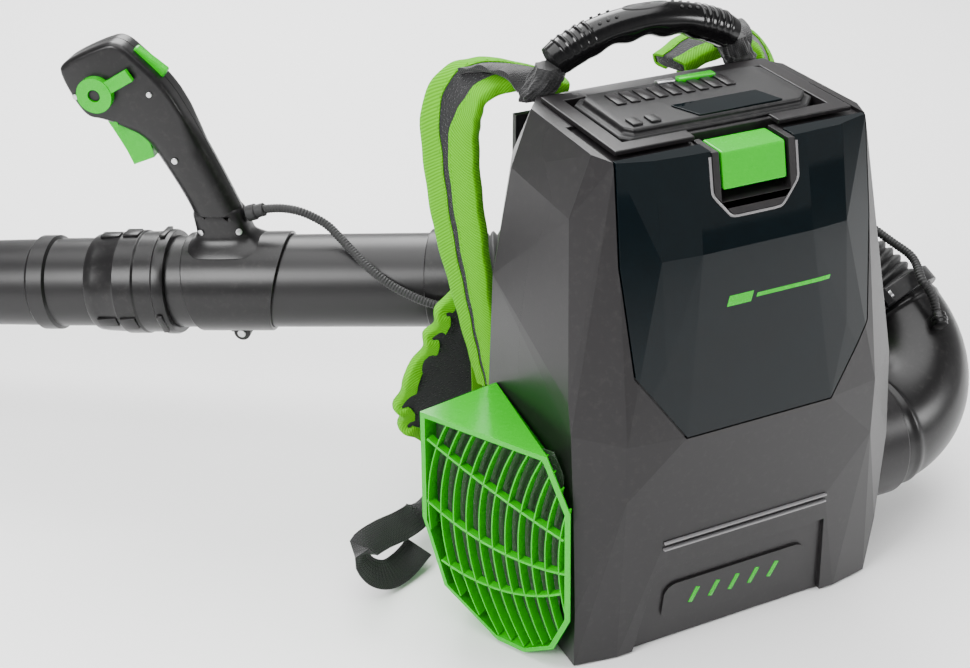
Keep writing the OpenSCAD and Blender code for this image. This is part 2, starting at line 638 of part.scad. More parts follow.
// ---------- carry handle ----------
carry_y = 78;
module carry_grip() color("#1d1d1e") translate([0, carry_y, 310]) rotate([90, 0, 0])
    difference() {
        rotate([0, 0, 61]) rotate_extrude(angle = 58, $fn = 128) translate([174, 0])
            scale([1, 1]) circle(15);
        rotate([0, 0, 60]) rotate_extrude(angle = 60, $fn = 128) translate([174, 0]) circle(9);
    }
module carry_webbing() color("#0f0f10") difference() {
    for (s = [-1, 1]) hull() {
        translate([s * 86 - 14, carry_y - 13, 452]) cube([28, 26, 8]);
        translate([s * 98 - 16, carry_y - 8, 431]) cube([32, 16, 4]);
    }
    translate([0, carry_y, 310]) rotate([90, 0, 0]) rotate([0, 0, 57])
        rotate_extrude(angle = 66, $fn = 128) translate([174, 0]) circle(15 + gap);
}

front_cover();
rear_cover();
gloss_panel();
top_bezel();
button_bezel();
battery_bay();
battery_connector();
base_tray();
rubber_feet();
badge_plate();
step_trim();
intake_guard();
intake_louvres();
fan_duct();
motor_mount();
motor_can();
motor_bearings();
outlet_flange();
flange_seal();
controller_board();
board_capacitors();
back_frame();
isolation_mounts();
back_pad();
shoulder_strap_left();
shoulder_strap_right();
strap_adjusters();
hip_belt_left();
hip_belt_right();
belt_tail();
cover_screws();
button_spring();
release_button();
battery_case();
battery_cap();
cap_label();
battery_contacts();
impeller();
rotor_shaft();
elbow();
elbow_collar();
hose_clamp();
clamp_screw();
hose();
hose_cuff();
handle_tube();
handle_saddle();
grip_shell_left();
grip_shell_right();
grip_screws();
switch_module();
cable_gland();
control_cable();
trigger();
cruise_lever();
turbo_button();
lock_collar();
nozzle();
carry_grip();
carry_webbing();
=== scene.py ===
"""Backpack leaf blower: the visual model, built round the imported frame. Metres, +Z up."""

import json
import math

import bmesh
import bpy
from mathutils import Matrix, Vector
from mathutils.bvhtree import BVHTree


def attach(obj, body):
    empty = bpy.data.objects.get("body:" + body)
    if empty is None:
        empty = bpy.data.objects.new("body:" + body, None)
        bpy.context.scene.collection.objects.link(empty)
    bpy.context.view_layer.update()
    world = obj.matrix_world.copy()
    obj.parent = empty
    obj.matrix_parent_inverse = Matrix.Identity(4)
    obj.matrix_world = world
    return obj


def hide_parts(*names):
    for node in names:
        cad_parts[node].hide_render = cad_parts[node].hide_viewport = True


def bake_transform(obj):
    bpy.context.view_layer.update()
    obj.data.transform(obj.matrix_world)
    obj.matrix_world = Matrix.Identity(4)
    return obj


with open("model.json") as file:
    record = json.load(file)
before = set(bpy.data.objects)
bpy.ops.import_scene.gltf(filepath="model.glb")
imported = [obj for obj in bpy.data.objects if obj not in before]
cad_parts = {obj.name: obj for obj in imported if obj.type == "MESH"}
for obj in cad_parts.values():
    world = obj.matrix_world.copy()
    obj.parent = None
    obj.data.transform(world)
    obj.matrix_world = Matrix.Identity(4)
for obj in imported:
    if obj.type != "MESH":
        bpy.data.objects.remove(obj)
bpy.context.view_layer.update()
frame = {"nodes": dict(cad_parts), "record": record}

bl_info = {
    "name": "Backpack leaf blower",
    "version": (1, 0, 0),
    "blender": (4, 5, 0),
    "location": "View3D > Sidebar > Blower",
    "description": "Builds a battery backpack leaf blower round its packed frame",
    "category": "Add Mesh",
}

MM = 0.001


# ---------------------------------------------------------------- sizes and colours
class BlowerColours(bpy.types.PropertyGroup):
    """Colours of the blower's finishes"""

    housing: bpy.props.FloatVectorProperty(
        name="Housing plastic", description="Moulded covers of the pack", subtype="COLOR",
        size=3, min=0, max=1, default=(0.0098, 0.0088, 0.0095))
    tube: bpy.props.FloatVectorProperty(
        name="Tube plastic", description="Blow tube, grip and elbow", subtype="COLOR",
        size=3, min=0, max=1, default=(0.0056, 0.0052, 0.0056))
    accent: bpy.props.FloatVectorProperty(
        name="Accent plastic", description="Guard, button, trigger and lever", subtype="COLOR",
        size=3, min=0, max=1, default=(0.004, 0.40, 0.0001))
    gloss: bpy.props.FloatVectorProperty(
        name="Gloss panel", description="Mirror-like front panel", subtype="COLOR",
        size=3, min=0, max=1, default=(0.0008, 0.0030, 0.0042))
    binding: bpy.props.FloatVectorProperty(
        name="Binding tape", description="Twill tape round the straps and belt", subtype="COLOR",
        size=3, min=0, max=1, default=(0.125, 0.54, 0.0006))
    fabric: bpy.props.FloatVectorProperty(
        name="Padding fabric", description="Spacer mesh of the straps and pads", subtype="COLOR",
        size=3, min=0, max=1, default=(0.0045, 0.0045, 0.005))


class BlowerSizes(bpy.types.PropertyGroup):
    """Sizes of the details that the frame leaves open"""

    edge_round: bpy.props.FloatProperty(
        name="Moulding radius", description="Rounding of the housing's edges", unit="LENGTH",
        default=0.0022, min=0.0003, max=0.004)
    rib_pitch: bpy.props.FloatProperty(
        name="Hose rib pitch", description="Distance between the hose's ribs", unit="LENGTH",
        default=0.0085, min=0.006, max=0.012)
    rib_depth: bpy.props.FloatProperty(
        name="Hose rib depth", description="Depth of the hose's ribs", unit="LENGTH",
        default=0.0042, min=0.001, max=0.006)
    conduit_pitch: bpy.props.FloatProperty(
        name="Conduit rib pitch", description="Distance between the cable's ribs",
        unit="LENGTH", default=0.0030, min=0.002, max=0.006)
    binding_width: bpy.props.FloatProperty(
        name="Binding width", description="How far the tape reaches in from an edge",
        unit="LENGTH", default=0.015, min=0.008, max=0.020)
    strap_thickness: bpy.props.FloatProperty(
        name="Strap thickness", description="Thickness of the padded straps", unit="LENGTH",
        default=0.013, min=0.008, max=0.016)


def sizes():
    """Sizes that the panel sets"""
    return bpy.context.scene.blower_sizes


def colours():
    """Colours that the panel sets"""
    return bpy.context.scene.blower_colours


# ---------------------------------------------------------------- shader arithmetic
class Signal:
    """A shader socket that takes Python arithmetic"""

    def __init__(self, finish, socket):
        self.finish = finish
        self.socket = socket

    def combine(self, operation, other=None, swapped=False):
        """One Math node on this signal and another or a number"""
        first, second = (other, self) if swapped else (self, other)
        sockets = {0: first} if second is None else {0: first, 1: second}
        return self.finish.make("ShaderNodeMath", {"operation": operation}, sockets)

    def __add__(self, other):
        return self.combine("ADD", other)

    __radd__ = __add__

    def __sub__(self, other):
        return self.combine("SUBTRACT", other)

    def __rsub__(self, other):
        return self.combine("SUBTRACT", other, swapped=True)

    def __mul__(self, other):
        return self.combine("MULTIPLY", other)

    __rmul__ = __mul__

    def sine(self):
        return self.combine("SINE")

    def size(self):
        return self.combine("ABSOLUTE")

    def part(self):
        return self.combine("FRACT")

    def capped(self):
        return self.finish.make("ShaderNodeClamp", {}, {"Value": self})


class Finish:
    """A material with one Principled shader, whose constants sit on its own sockets"""

    def __init__(self, name, **constants):
        self.material = bpy.data.materials.new(name)
        self.material.use_nodes = True
        self.nodes = self.material.node_tree.nodes
        self.links = self.material.node_tree.links
        self.shader = self.nodes["Principled BSDF"]
        for words, value in constants.items():
            socket = self.shader.inputs[words.replace("_", " ").title().replace("Ior", "IOR")]
            socket.default_value = (*value, 1.0) if isinstance(value, tuple) else value

    def make(self, kind, settings=None, sockets=None, output=0):
        """A node of a type with its settings, then its sockets' values or links"""
        node = self.nodes.new(kind)
        for key, value in (settings or {}).items():
            if key == "stops":
                self.set_stops(node.color_ramp, value)
            else:
                setattr(node, key, value)
        for key, value in (sockets or {}).items():
            if isinstance(value, Signal):
                self.links.new(value.socket, node.inputs[key])
            else:
                node.inputs[key].default_value = value
        return Signal(self, node.outputs[output])

    @staticmethod
    def set_stops(ramp, stops):
        """Grey levels at places along a ramp"""
        while len(ramp.elements) < len(stops):
            ramp.elements.new(0.5)
        for element, (place, level) in zip(ramp.elements, stops):
            element.position = place
            element.color = (level, level, level, 1)

    def point(self, scale=(1, 1, 1), turn=(0, 0, 0)):
        """Object coordinates, stretched and turned"""
        where = self.make("ShaderNodeTexCoord", output=3)
        return self.make("ShaderNodeMapping", {}, {0: where, 2: turn, 3: scale})

    def cloth_axes(self):
        """Distance across and along the piece's own UV map, in metres"""
        where = self.make("ShaderNodeUVMap", {"uv_map": "cloth"})
        node = self.nodes.new("ShaderNodeSeparateXYZ")
        self.links.new(where.socket, node.inputs[0])
        return [Signal(self, node.outputs[axis]) for axis in (0, 1)]

    def cloud(self, vector, scale, detail=3.0, roughness=0.5):
        """Soft noise with so many grains to the metre"""
        return self.make("ShaderNodeTexNoise", {}, {
            "Vector": vector, "Scale": scale, "Detail": detail, "Roughness": roughness})

    def cells(self, vector, scale):
        return self.make("ShaderNodeTexVoronoi", {}, {"Vector": vector, "Scale": scale})

    def ramp(self, value, *stops):
        return self.make("ShaderNodeValToRGB", {"stops": stops}, {0: value})

    def blend(self, mask, first, second):
        """Colour first where the mask is 0 and second where it is 1"""
        def colour(value):
            return value if isinstance(value, Signal) else (*value, 1.0)
        return self.make("ShaderNodeMix", {"data_type": "RGBA"}, {
            0: mask, 6: colour(first), 7: colour(second)}, output=2)

    def feed(self, socket, value):
        self.links.new(value.socket, self.shader.inputs[socket])
        return self

    def relief(self, height, depth, strength=1.0):
        """Bump of the given depth in metres"""
        bump = self.make("ShaderNodeBump", {}, {
            "Height": height, "Distance": depth, "Strength": strength})
        return self.feed("Normal", bump)


def shade(colour, factor):
    """A colour made lighter or darker"""
    return tuple(min(1.0, c * factor) for c in colour)


def moulded_plastic(name, colour, roughness, grain=0.00007, speckle=1.0, coat=0.0):
    """Injection-moulded plastic with a spark-eroded grain and slightly cloudy gloss"""
    finish = Finish(name, coat_weight=coat, coat_roughness=0.12, ior=1.48,
                    specular_ior_level=0.34)
    place = finish.point()
    drift = finish.cloud(place, 9.0, 4.0)
    fine = finish.cloud(place, 1500.0, 2.0, 0.6)
    dust = finish.ramp(finish.cloud(place, 170.0, 5.0, 0.7), (0.52, 0.0), (0.78, 1.0))
    tone = finish.blend(drift, shade(colour, 0.86), shade(colour, 1.16))
    finish.feed("Base Color", finish.blend(dust * (0.10 * speckle), tone, (0.20, 0.19, 0.18)))
    gloss = drift * 0.08 + fine * 0.05 + dust * 0.05
    finish.feed("Roughness", (roughness - 0.05 + gloss).capped())
    return finish.relief(fine, grain, 0.55)


def gloss_plastic(name, colour):
    """Polished black panel with a faint orange peel and hairline wipe marks"""
    finish = Finish(name, coat_weight=0.08, coat_roughness=0.025, ior=1.5,
                    specular_ior_level=0.2)
    place = finish.point()
    peel = finish.cloud(place, 55.0, 2.0)
    wipes = finish.cloud(finish.point((16, 500, 500), (0, 0.4, 0)), 3.0, 4.0, 0.6)
    finish.feed("Base Color", finish.blend(peel, shade(colour, 0.8), shade(colour, 1.4)))
    finish.feed("Roughness", (0.035 + finish.ramp(wipes, (0.55, 0), (0.8, 1)) * 0.06).capped())
    return finish.relief(peel, 0.00004, 0.25)


def blown_tube(name, colour):
    """Blow-moulded tube with drag lines along its length"""
    finish = Finish(name, ior=1.48, specular_ior_level=0.4)
    place = finish.point()
    u, v = finish.cloth_axes()
    drawn = finish.make("ShaderNodeCombineXYZ", {}, {0: u * 900.0, 1: v * 5.0})
    lines = finish.cloud(drawn, 1.0)
    drift = finish.cloud(place, 12.0, 4.0)
    fine = finish.cloud(place, 1300.0, 2.0)
    finish.feed("Base Color", finish.blend(drift, shade(colour, 0.85), shade(colour, 1.2)))
    finish.feed("Roughness", (0.30 + drift * 0.08 + lines * 0.06).capped())
    return finish.relief(lines * 0.5 + fine * 0.5, 0.00005, 0.5)


def rubber(name, colour, roughness=0.62):
    """Soft rubber with a dull bloom and fine pores"""
    finish = Finish(name, ior=1.5, sheen_weight=0.08, sheen_roughness=0.5)
    place = finish.point()
    bloom = finish.cloud(place, 38.0, 5.0, 0.6)
    pores = finish.cloud(place, 2200.0, 2.0, 0.6)
    finish.feed("Base Color", finish.blend(bloom, shade(colour, 0.8), shade(colour, 1.5)))
    finish.feed("Roughness", (roughness - 0.06 + bloom * 0.14).capped())
    return finish.relief(pores, 0.00006, 0.6)


def metal(name, colour, roughness, brush=600.0):
    """Bare metal, brushed along X"""
    finish = Finish(name, metallic=1.0)
    brushed = finish.cloud(finish.point((brush, brush * 0.06, brush * 0.06)), 1.0, 3.0)
    stain = finish.cloud(finish.point(), 120.0, 3.0)
    finish.feed("Base Color", finish.blend(stain, shade(colour, 0.82), colour))
    finish.feed("Roughness", (roughness + brushed * 0.14).capped())
    return finish.relief(brushed, 0.00002, 0.4)


def twill_tape(name, colour):
    """Twill binding: diagonal ribs of twisted yarn on the tape's own UV map"""
    finish = Finish(name, sheen_weight=0.08, sheen_roughness=0.4, ior=1.4,
                    specular_ior_level=0.15)
    u, v = finish.cloth_axes()
    rib = ((u + v) * 2100.0).sine() * 0.5 + 0.5
    yarn = ((u - v * 0.35) * 5200.0).sine() * 0.5 + 0.5
    fuzz = finish.cloud(finish.point(), 900.0, 4.0, 0.65)
    soil = finish.cloud(finish.point(), 26.0, 4.0)
    weave = rib * 0.75 + yarn * 0.25
    tone = finish.blend(weave, shade(colour, 0.45), shade(colour, 1.05))
    finish.feed("Base Color", finish.blend(soil * 0.35, tone, shade(colour, 0.72)))
    finish.feed("Roughness", (0.72 + fuzz * 0.2).capped())
    return finish.relief(weave + fuzz * 0.35, 0.00045, 0.9)


def spacer_mesh(name, colour, cell=0.0024, hairy=0.3):
    """Padded mesh: hexagonal eyelets in a fuzzy knitted face"""
    finish = Finish(name, sheen_weight=0.5, sheen_roughness=0.45, sheen_tint=(0.6, 0.6, 0.62),
                    ior=1.4)
    place = finish.point()
    eyelet = finish.ramp(finish.cells(place, 1.0 / cell), (0.18, 0.0), (0.42, 1.0))
    fuzz = finish.cloud(place, 1400.0, 4.0, 0.7)
    lint = finish.ramp(finish.cloud(place, 420.0, 3.0, 0.7), (0.60, 0.0), (0.72, 1.0))
    tone = finish.blend(eyelet, shade(colour, 0.25), shade(colour, 1.6))
    finish.feed("Base Color", finish.blend(lint * hairy, tone, (0.085, 0.083, 0.08)))
    finish.feed("Roughness", (0.8 + fuzz * 0.15).capped())
    return finish.relief(eyelet * 0.7 + fuzz * 0.5, 0.0006, 0.9)


def webbing(name, colour):
    """Woven polypropylene webbing: chevron ribs across its own UV map"""
    finish = Finish(name, sheen_weight=0.2, sheen_roughness=0.4, ior=1.45)
    u, v = finish.cloth_axes()
    across = ((u * 260.0).part() - 0.5).size()
    chevron = ((v * 420.0 + across * 1.4) * math.tau).sine() * 0.5 + 0.5
    cords = (u * 520.0 * math.tau).sine() * 0.5 + 0.5
    fuzz = finish.cloud(finish.point(), 1500.0, 3.0, 0.6)
    weave = chevron * 0.6 + cords * 0.4
    finish.feed("Base Color", finish.blend(weave, shade(colour, 0.4), shade(colour, 1.8)))
    finish.feed("Roughness", (0.55 + fuzz * 0.2).capped())
    return finish.relief(weave + fuzz * 0.2, 0.0005, 0.9)


FINISHES = {}


def make_finishes():
    """One finish for each slot, and a few for pieces that differ from their slot"""
    tint = colours()
    dark = (0.0062, 0.0060, 0.0066)
    FINISHES.update({
        "body_plastic": moulded_plastic(
            "housing plastic", tuple(tint.housing), 0.33, speckle=0.5),
        "dark_plastic": moulded_plastic("dark moulded plastic", dark, 0.42, 0.00009),
        "gloss_black": gloss_plastic("gloss panel", tuple(tint.gloss)),
        "bright_trim": moulded_plastic(
            "polished trim", (0.16, 0.155, 0.16), 0.16, 0.00002, 0.2, 0.6),
        "green_plastic": moulded_plastic(
            "accent plastic", tuple(tint.accent), 0.25, 0.00003, 0.05),
        "tube_plastic": moulded_plastic("tube plastic", tuple(tint.tube), 0.30, 0.00004, 0.6),
        "soft_rubber": rubber("soft rubber", (0.0052, 0.0052, 0.0055)),
        "steel": metal("zinc-plated steel", (0.62, 0.62, 0.63), 0.24),
        "motor_alloy": metal("turned alloy", (0.50, 0.50, 0.52), 0.32),
        "brass_contact": metal("contact brass", (0.72, 0.50, 0.20), 0.22),
        "board": moulded_plastic("solder mask", (0.010, 0.09, 0.035), 0.25, 0.00002, 0.3, 0.4),
        "capacitor": moulded_plastic(
            "capacitor sleeve", (0.015, 0.016, 0.024), 0.22, 0.00001, 0.2, 0.4),
        "grip_gloss": moulded_plastic(
            "polished rubber", (0.0035, 0.0035, 0.0038), 0.15, 0.00002, 0.2),
        "screen": spacer_mesh("intake screen", (0.006, 0.03, 0.004), 0.0016, 0.05),
        "pad_mesh": spacer_mesh("spacer mesh", tuple(tint.fabric)),
        "blown_tube": blown_tube("blow tube plastic", tuple(tint.tube)),
        "webbing": webbing("woven webbing", (0.004, 0.004, 0.0045)),
        "binding": twill_tape("twill binding", tuple(tint.binding)),
    })


# ---------------------------------------------------------------- mesh tools
def placed_object(name, bm, material):
    """A bmesh becomes a smooth object of one material in the scene"""
    mesh = bpy.data.meshes.new(name)
    bm.to_mesh(mesh)
    bm.free()
    piece = bpy.data.objects.new(name, mesh)
    bpy.context.scene.collection.objects.link(piece)
    mesh.materials.append(material)
    mesh.shade_smooth()
    return piece


def on_body(piece, body, smooth):
    """Sharp edges past an angle, and the body that a piece belongs to"""
    piece.data.set_sharp_from_angle(angle=math.radians(smooth))
    if body:
        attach(piece, body)
    return piece


def new_piece(name, bm, slot, body, smooth=35, finish=None):
    """A bmesh becomes a piece that rides on a body, with the finish of a slot"""
    bmesh.ops.recalc_face_normals(bm, faces=bm.faces)
    piece = placed_object(name, bm, FINISHES[finish or slot].material)
    return on_body(piece, body, smooth)


def round_edges(piece, width, segments=3, angle=28):
    """Moulding radii on every sharp edge"""
    bevel = piece.modifiers.new("moulding radii", "BEVEL")
    bevel.width = width
    bevel.segments = segments
    bevel.limit_method = "ANGLE"
    bevel.angle_limit = math.radians(angle)
    bevel.harden_normals = True
    bevel.use_clamp_overlap = True
    return piece


def cad_copy(node, flat):
    """A merged copy of a CAD node's mesh, its flat triangles paired up where they can be"""
    bm = bmesh.new()
    bm.from_mesh(frame["nodes"][node].data)
    bmesh.ops.remove_doubles(bm, verts=bm.verts, dist=1e-5)
    bmesh.ops.join_triangles(bm, faces=bm.faces, angle_face_threshold=math.radians(flat),
                             angle_shape_threshold=math.pi)
    return bm


SLOT_OF = {row["node"]: row["material_slot"] for row in frame["record"]["subparts"]}
BODY_OF = {node: body for body, nodes in frame["record"]["behaviour"]["bodies"].items()
           for node in nodes}


def moulded(node, width, segments=3, flat=0.6, angle=28):
    """A CAD node's shape as a moulding with rounded edges"""
    slot = SLOT_OF[node]
    piece = placed_object(node + "_moulding", cad_copy(node, flat), FINISHES[slot].material)
    on_body(piece, BODY_OF[node], angle)
    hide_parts(node)
    return round_edges(piece, width, segments, angle)


def heading(points, i):
    """Which way a path runs at one of its points"""
    return (points[min(i + 1, len(points) - 1)] - points[max(i - 1, 0)]).normalized()


def turn_to(ahead, side=None):
    """A turn whose Z lies along a direction, and X as near to the side as it can"""
    ahead = ahead.normalized()
    side = Vector(side) if side else ahead.orthogonal()
    side = (side - ahead * side.dot(ahead)).normalized()
    return Matrix((side, ahead.cross(side), ahead)).transposed()


def frames_along(points):
    """A turn at each point of a path: X to the side, Y up, Z ahead, without twisting"""
    turns = []
    side = None
    for i in range(len(points)):
        turns.append(turn_to(heading(points, i), side))
        side = turns[-1].col[0]
    return turns


def smooth_path(points, step):
    """Points every step along a Catmull-Rom curve through the given ones"""
    ends = [2 * points[0] - points[1], *points, 2 * points[-1] - points[-2]]
    fine = []
    for i in range(1, len(ends) - 2):
        a, b, c, d = ends[i - 1:i + 3]
        for k in range(12):
            t = k / 12
            fine.append(0.5 * (2 * b + (c - a) * t + (2 * a - 5 * b + 4 * c - d) * t * t
                               + (3 * b - a - 3 * c + d) * t ** 3))
    fine.append(points[-1].copy())
    return even_path(fine, step)


def even_path(fine, step):
    """The same path with points the same distance apart"""
    lengths = [0.0]
    for a, b in zip(fine, fine[1:]):
        lengths.append(lengths[-1] + (b - a).length)
    count = max(2, round(lengths[-1] / step))
    even = []
    j = 0
    for i in range(count + 1):
        want = lengths[-1] * i / count
        while j < len(fine) - 2 and lengths[j + 1] < want:
            j += 1
        span = max(lengths[j + 1] - lengths[j], 1e-9)
        even.append(fine[j].lerp(fine[j + 1], (want - lengths[j]) / span))
    return even


def path_length(points):
    """Length of a path"""
    return sum((b - a).length for a, b in zip(points, points[1:]))


def loft(rings, caps=True):
    """Bridges rings of points, and gives the skin a UV map in metres, across and along"""
    bm = bmesh.new()
    layer = bm.loops.layers.uv.new("cloth")
    across = []
    total = 0.0
    for a, b in zip(rings[0], [*rings[0][1:], rings[0][0]]):
        across.append(total)
        total += (Vector(b) - Vector(a)).length
    along = [0.0]
    for a, b in zip(rings, rings[1:]):
        along.append(along[-1] + (Vector(b[0]) - Vector(a[0])).length)
    previous = None
    place = {}
    first = last = None
    for i, ring in enumerate(rings):
        verts = [bm.verts.new(p) for p in ring]
        edges = [bm.edges.new(pair) for pair in zip(verts, [*verts[1:], verts[0]])]
        for j, vert in enumerate(verts):
            place[vert] = (across[j], along[i])
        if previous:
            made = bmesh.ops.bridge_loops(bm, edges=previous + edges)["faces"]
            for face in made:
                us = [place[loop.vert][0] for loop in face.loops]
                wraps = max(us) - min(us) > total / 2
                for loop in face.loops:
                    u, v = place[loop.vert]
                    loop[layer].uv = (u + total if wraps and u < total / 2 else u, v)
        previous = edges
        first = first or verts
        last = verts
    if caps:
        bm.faces.new(first)
        bm.faces.new(last)
    return bm


def circle_points(radius, count):
    """Points round a circle"""
    turns = [math.tau * k / count for k in range(count)]
    return [(radius * math.cos(a), radius * math.sin(a)) for a in turns]


def soft_square(count, power=0.62):
    """Unit square with its corners rounded away"""
    outline = []
    for k in range(count):
        c, s = math.cos(math.tau * k / count), math.sin(math.tau * k / count)
        outline.append((math.copysign(abs(c) ** power, c), math.copysign(abs(s) ** power, s)))
    return outline


def spoke(angle):
    """A direction in the XZ plane"""
    a = math.radians(angle)
    return Vector((math.cos(a), 0, math.sin(a)))


def placed(centre, turn, outline):
    """An outline's points, set at a place and turned"""
    return [centre + turn @ Vector((x, y, 0)) for x, y in outline]


# ---------------------------------------------------------------- frame geometry
BACKWARDS = Vector((0, 1, 0))
AHEAD = 300
FAN = Vector((0, -30, 88)) * MM
ELBOW_X, ELBOW_BEND, ELBOW_TURN, ELBOW_LEAN = 206 * MM, 86 * MM, 105.0, 35.0
BEND_UP = Vector((0, math.cos(math.radians(ELBOW_LEAN)), math.sin(math.radians(ELBOW_LEAN))))
BEND_SIDE = Vector((1, 0, 0)).cross(BEND_UP)
ELBOW_CENTRE = Vector((ELBOW_X, FAN.y, FAN.z)) + ELBOW_BEND * BEND_UP
ELBOW_RADIUS, ELBOW_TAPER = 54.5, 5.0
TUBE_RADIUS = 46
HOSE_RADIUS = 45.9 * MM
CONDUIT_RADIUS, CONDUIT_GROOVE = 4.5 * MM, 0.8 * MM
CARRY_CENTRE = Vector((0, 78, 310)) * MM
CARRY_ARC, CARRY_RADIUS = 174, 14.6
CARRY_START, CARRY_SPAN = 119, 58
CAP_TOP = 449.1
GUARD_CORNER = Vector((-159, -118, 0)) * MM
GUARD_TURN = Matrix.Rotation(math.radians(120), 3, "Z")
WAND_POS = Vector((-111, 250, 187)) * MM
WAND_TURN = Matrix.Rotation(math.radians(146), 3, "Z") @ Matrix.Rotation(math.radians(5), 3, "Y")
WAND_DIR = WAND_TURN @ Vector((1, 0, 0))


def elbow_point(angle):
    """A point on the elbow's middle line, in degrees round its bend"""
    a = math.radians(angle)
    return ELBOW_CENTRE + ELBOW_BEND * (math.sin(a) * Vector((1, 0, 0)) - math.cos(a) * BEND_UP)


def elbow_heading(angle):
    """Which way the elbow runs there"""
    a = math.radians(angle)
    return math.cos(a) * Vector((1, 0, 0)) + math.sin(a) * BEND_UP


def on_wand(s, side, up):
    """A point in the wand's own frame, in millimetres"""
    return WAND_POS + WAND_TURN @ (Vector((s, side, up)) * MM)


HOSE_FROM = elbow_point(ELBOW_TURN) + elbow_heading(ELBOW_TURN) * 0.4 * MM
HOSE_TO = WAND_POS - WAND_DIR * 32 * MM


def hose_point(t):
    """The hose's middle line, from 0 at the elbow to 1 at the wand"""
    bend_a = HOSE_FROM + 200 * MM * elbow_heading(ELBOW_TURN)
    bend_b = HOSE_TO - 130 * MM * WAND_DIR
    return ((1 - t) ** 3 * HOSE_FROM + 3 * (1 - t) ** 2 * t * bend_a
            + 3 * (1 - t) * t * t * bend_b + t ** 3 * HOSE_TO)


def hose_heading(t):
    """Which way the hose runs there"""
    if t <= 0:
        return elbow_heading(ELBOW_TURN)
    if t >= 1:
        return WAND_DIR
    return (hose_point(t + 0.01) - hose_point(t - 0.01)).normalized()


def hose_side(t, reach, angle):
    """A point beside the hose's middle line"""
    ahead = hose_heading(t)
    u = ahead.cross(Vector((0, 0, 1))).normalized()
    v = ahead.cross(u)
    a = math.radians(angle)
    return hose_point(t) + reach * (math.cos(a) * u + math.sin(a) * v)


CABLE_WAND = [
    (180, 0, 75), (168, 0, 78), (156, 2, 80), (144, 3, 80), (130, 5, 78), (116, 6, 72),
    (102, 9, 64), (88, 18, 54), (75, 28, 45), (63, 37, 37), (49, 45, 28), (34, 50, 19),
    (18, 54, 12), (2, 57, 6), (-16, 58, 2), (-34, 57, 0),
]
PORT_TURN, PORT_REACH = 75, 60 * MM
CABLE = (
    [on_wand(*p) for p in CABLE_WAND]
    + [hose_side(0.9 - i * 0.095, 54 * MM, 180 + min(90, i * 22)) for i in range(9)]
    + [hose_side(0.085, 57.5 * MM, 270), hose_side(0.04, 63 * MM, 270)]
    + [elbow_point(a) + BEND_SIDE * (PORT_REACH + rise * MM)
       for a, rise in ((106, 6.5), (99, 6), (92, 4.5), (87.5, 1.8), (85.2, 0.4), (83.9, 0))]
)


def spline(values, t):
    """Catmull-Rom value at place t of a list of numbers or vectors"""
    i = min(int(t), len(values) - 2)
    f = t - i
    b, c = values[i], values[i + 1]
    a = values[i - 1] if i else b * 2 - c
    d = values[i + 2] if i + 2 < len(values) else c * 2 - b
    return (b * 2 + (c - a) * f + (a * 2 - b * 5 + c * 4 - d) * (f * f)
            + (b * 3 - a - c * 3 + d) * f ** 3) * 0.5


def cut_corners(outline, rounds=2, share=0.25):
    """Chaikin's corner cutting on a closed outline"""
    for _ in range(rounds):
        outline = [p for a, b in zip(outline, [*outline[1:], outline[0]])
                   for p in (a.lerp(b, share), a.lerp(b, 1 - share))]
    return outline


def closed_even(outline, step):
    """A closed outline with its points evenly spaced"""
    return even_path([*outline, outline[0]], step)[:-1]


def inset_outline(outline, depth):
    """A closed 2-D outline, anticlockwise, moved inwards"""
    moved = []
    for a, b, c in zip([outline[-1], *outline[:-1]], outline, [*outline[1:], outline[0]]):
        ahead = (c - a).normalized()
        moved.append(b + Vector((-ahead.y, ahead.x)) * depth)
    return moved


def inside_by(point, outline):
    """How far inside a convex anticlockwise outline a point is"""
    depth = 1e9
    for a, b in zip(outline, [*outline[1:], outline[0]]):
        ahead = (b - a).normalized()
        depth = min(depth, ahead.x * (point.y - a.y) - ahead.y * (point.x - a.x))
    return depth


def anticlockwise(points):
    """An outline turned round if it runs clockwise"""
    area = sum(a.x * b.y - b.x * a.y for a, b in zip(points, [*points[1:], points[0]]))
    return points if area > 0 else points[::-1]


def revolved(name, profile, slot, body, count=96, finish=None, width=0.0008, lean=None):
    """Rings of (along, radius) in millimetres about the wand's axis, joined into one skin"""
    rings = []
    for along, radius in profile:
        ring = []
        for x, y in circle_points(radius, count):
            shift = lean(along, y) if lean else 0
            ring.append(on_wand(along + shift, x, y))
        rings.append(ring)
    bm = loft([*rings, rings[0]], caps=False)
    bmesh.ops.remove_doubles(bm, verts=bm.verts, dist=1e-6)
    piece = new_piece(name, bm, slot, body, finish=finish)
    return round_edges(piece, width)


def tube_along(name, points, radius_at, count, slot, body, caps=True, smooth=50):
    """A tube whose radius follows its length, in metres"""
    turns = frames_along(points)
    done = 0.0
    rings = []
    for i, point in enumerate(points):
        if i:
            done += (point - points[i - 1]).length
        rings.append(placed(point, turns[i], circle_points(radius_at(done), count)))
    return new_piece(name, loft(rings, caps=caps), slot, body, smooth=smooth)


def joined(name, meshes, slot, body, smooth=40, finish=None):
    """Several small bmeshes as one piece"""
    bm = bmesh.new()
    scratch = bpy.data.meshes.new("scratch")
    for part in meshes:
        part.to_mesh(scratch)
        part.free()
        bm.from_mesh(scratch)
        scratch.clear_geometry()
    bpy.data.meshes.remove(scratch)
    return new_piece(name, bm, slot, body, smooth=smooth, finish=finish)


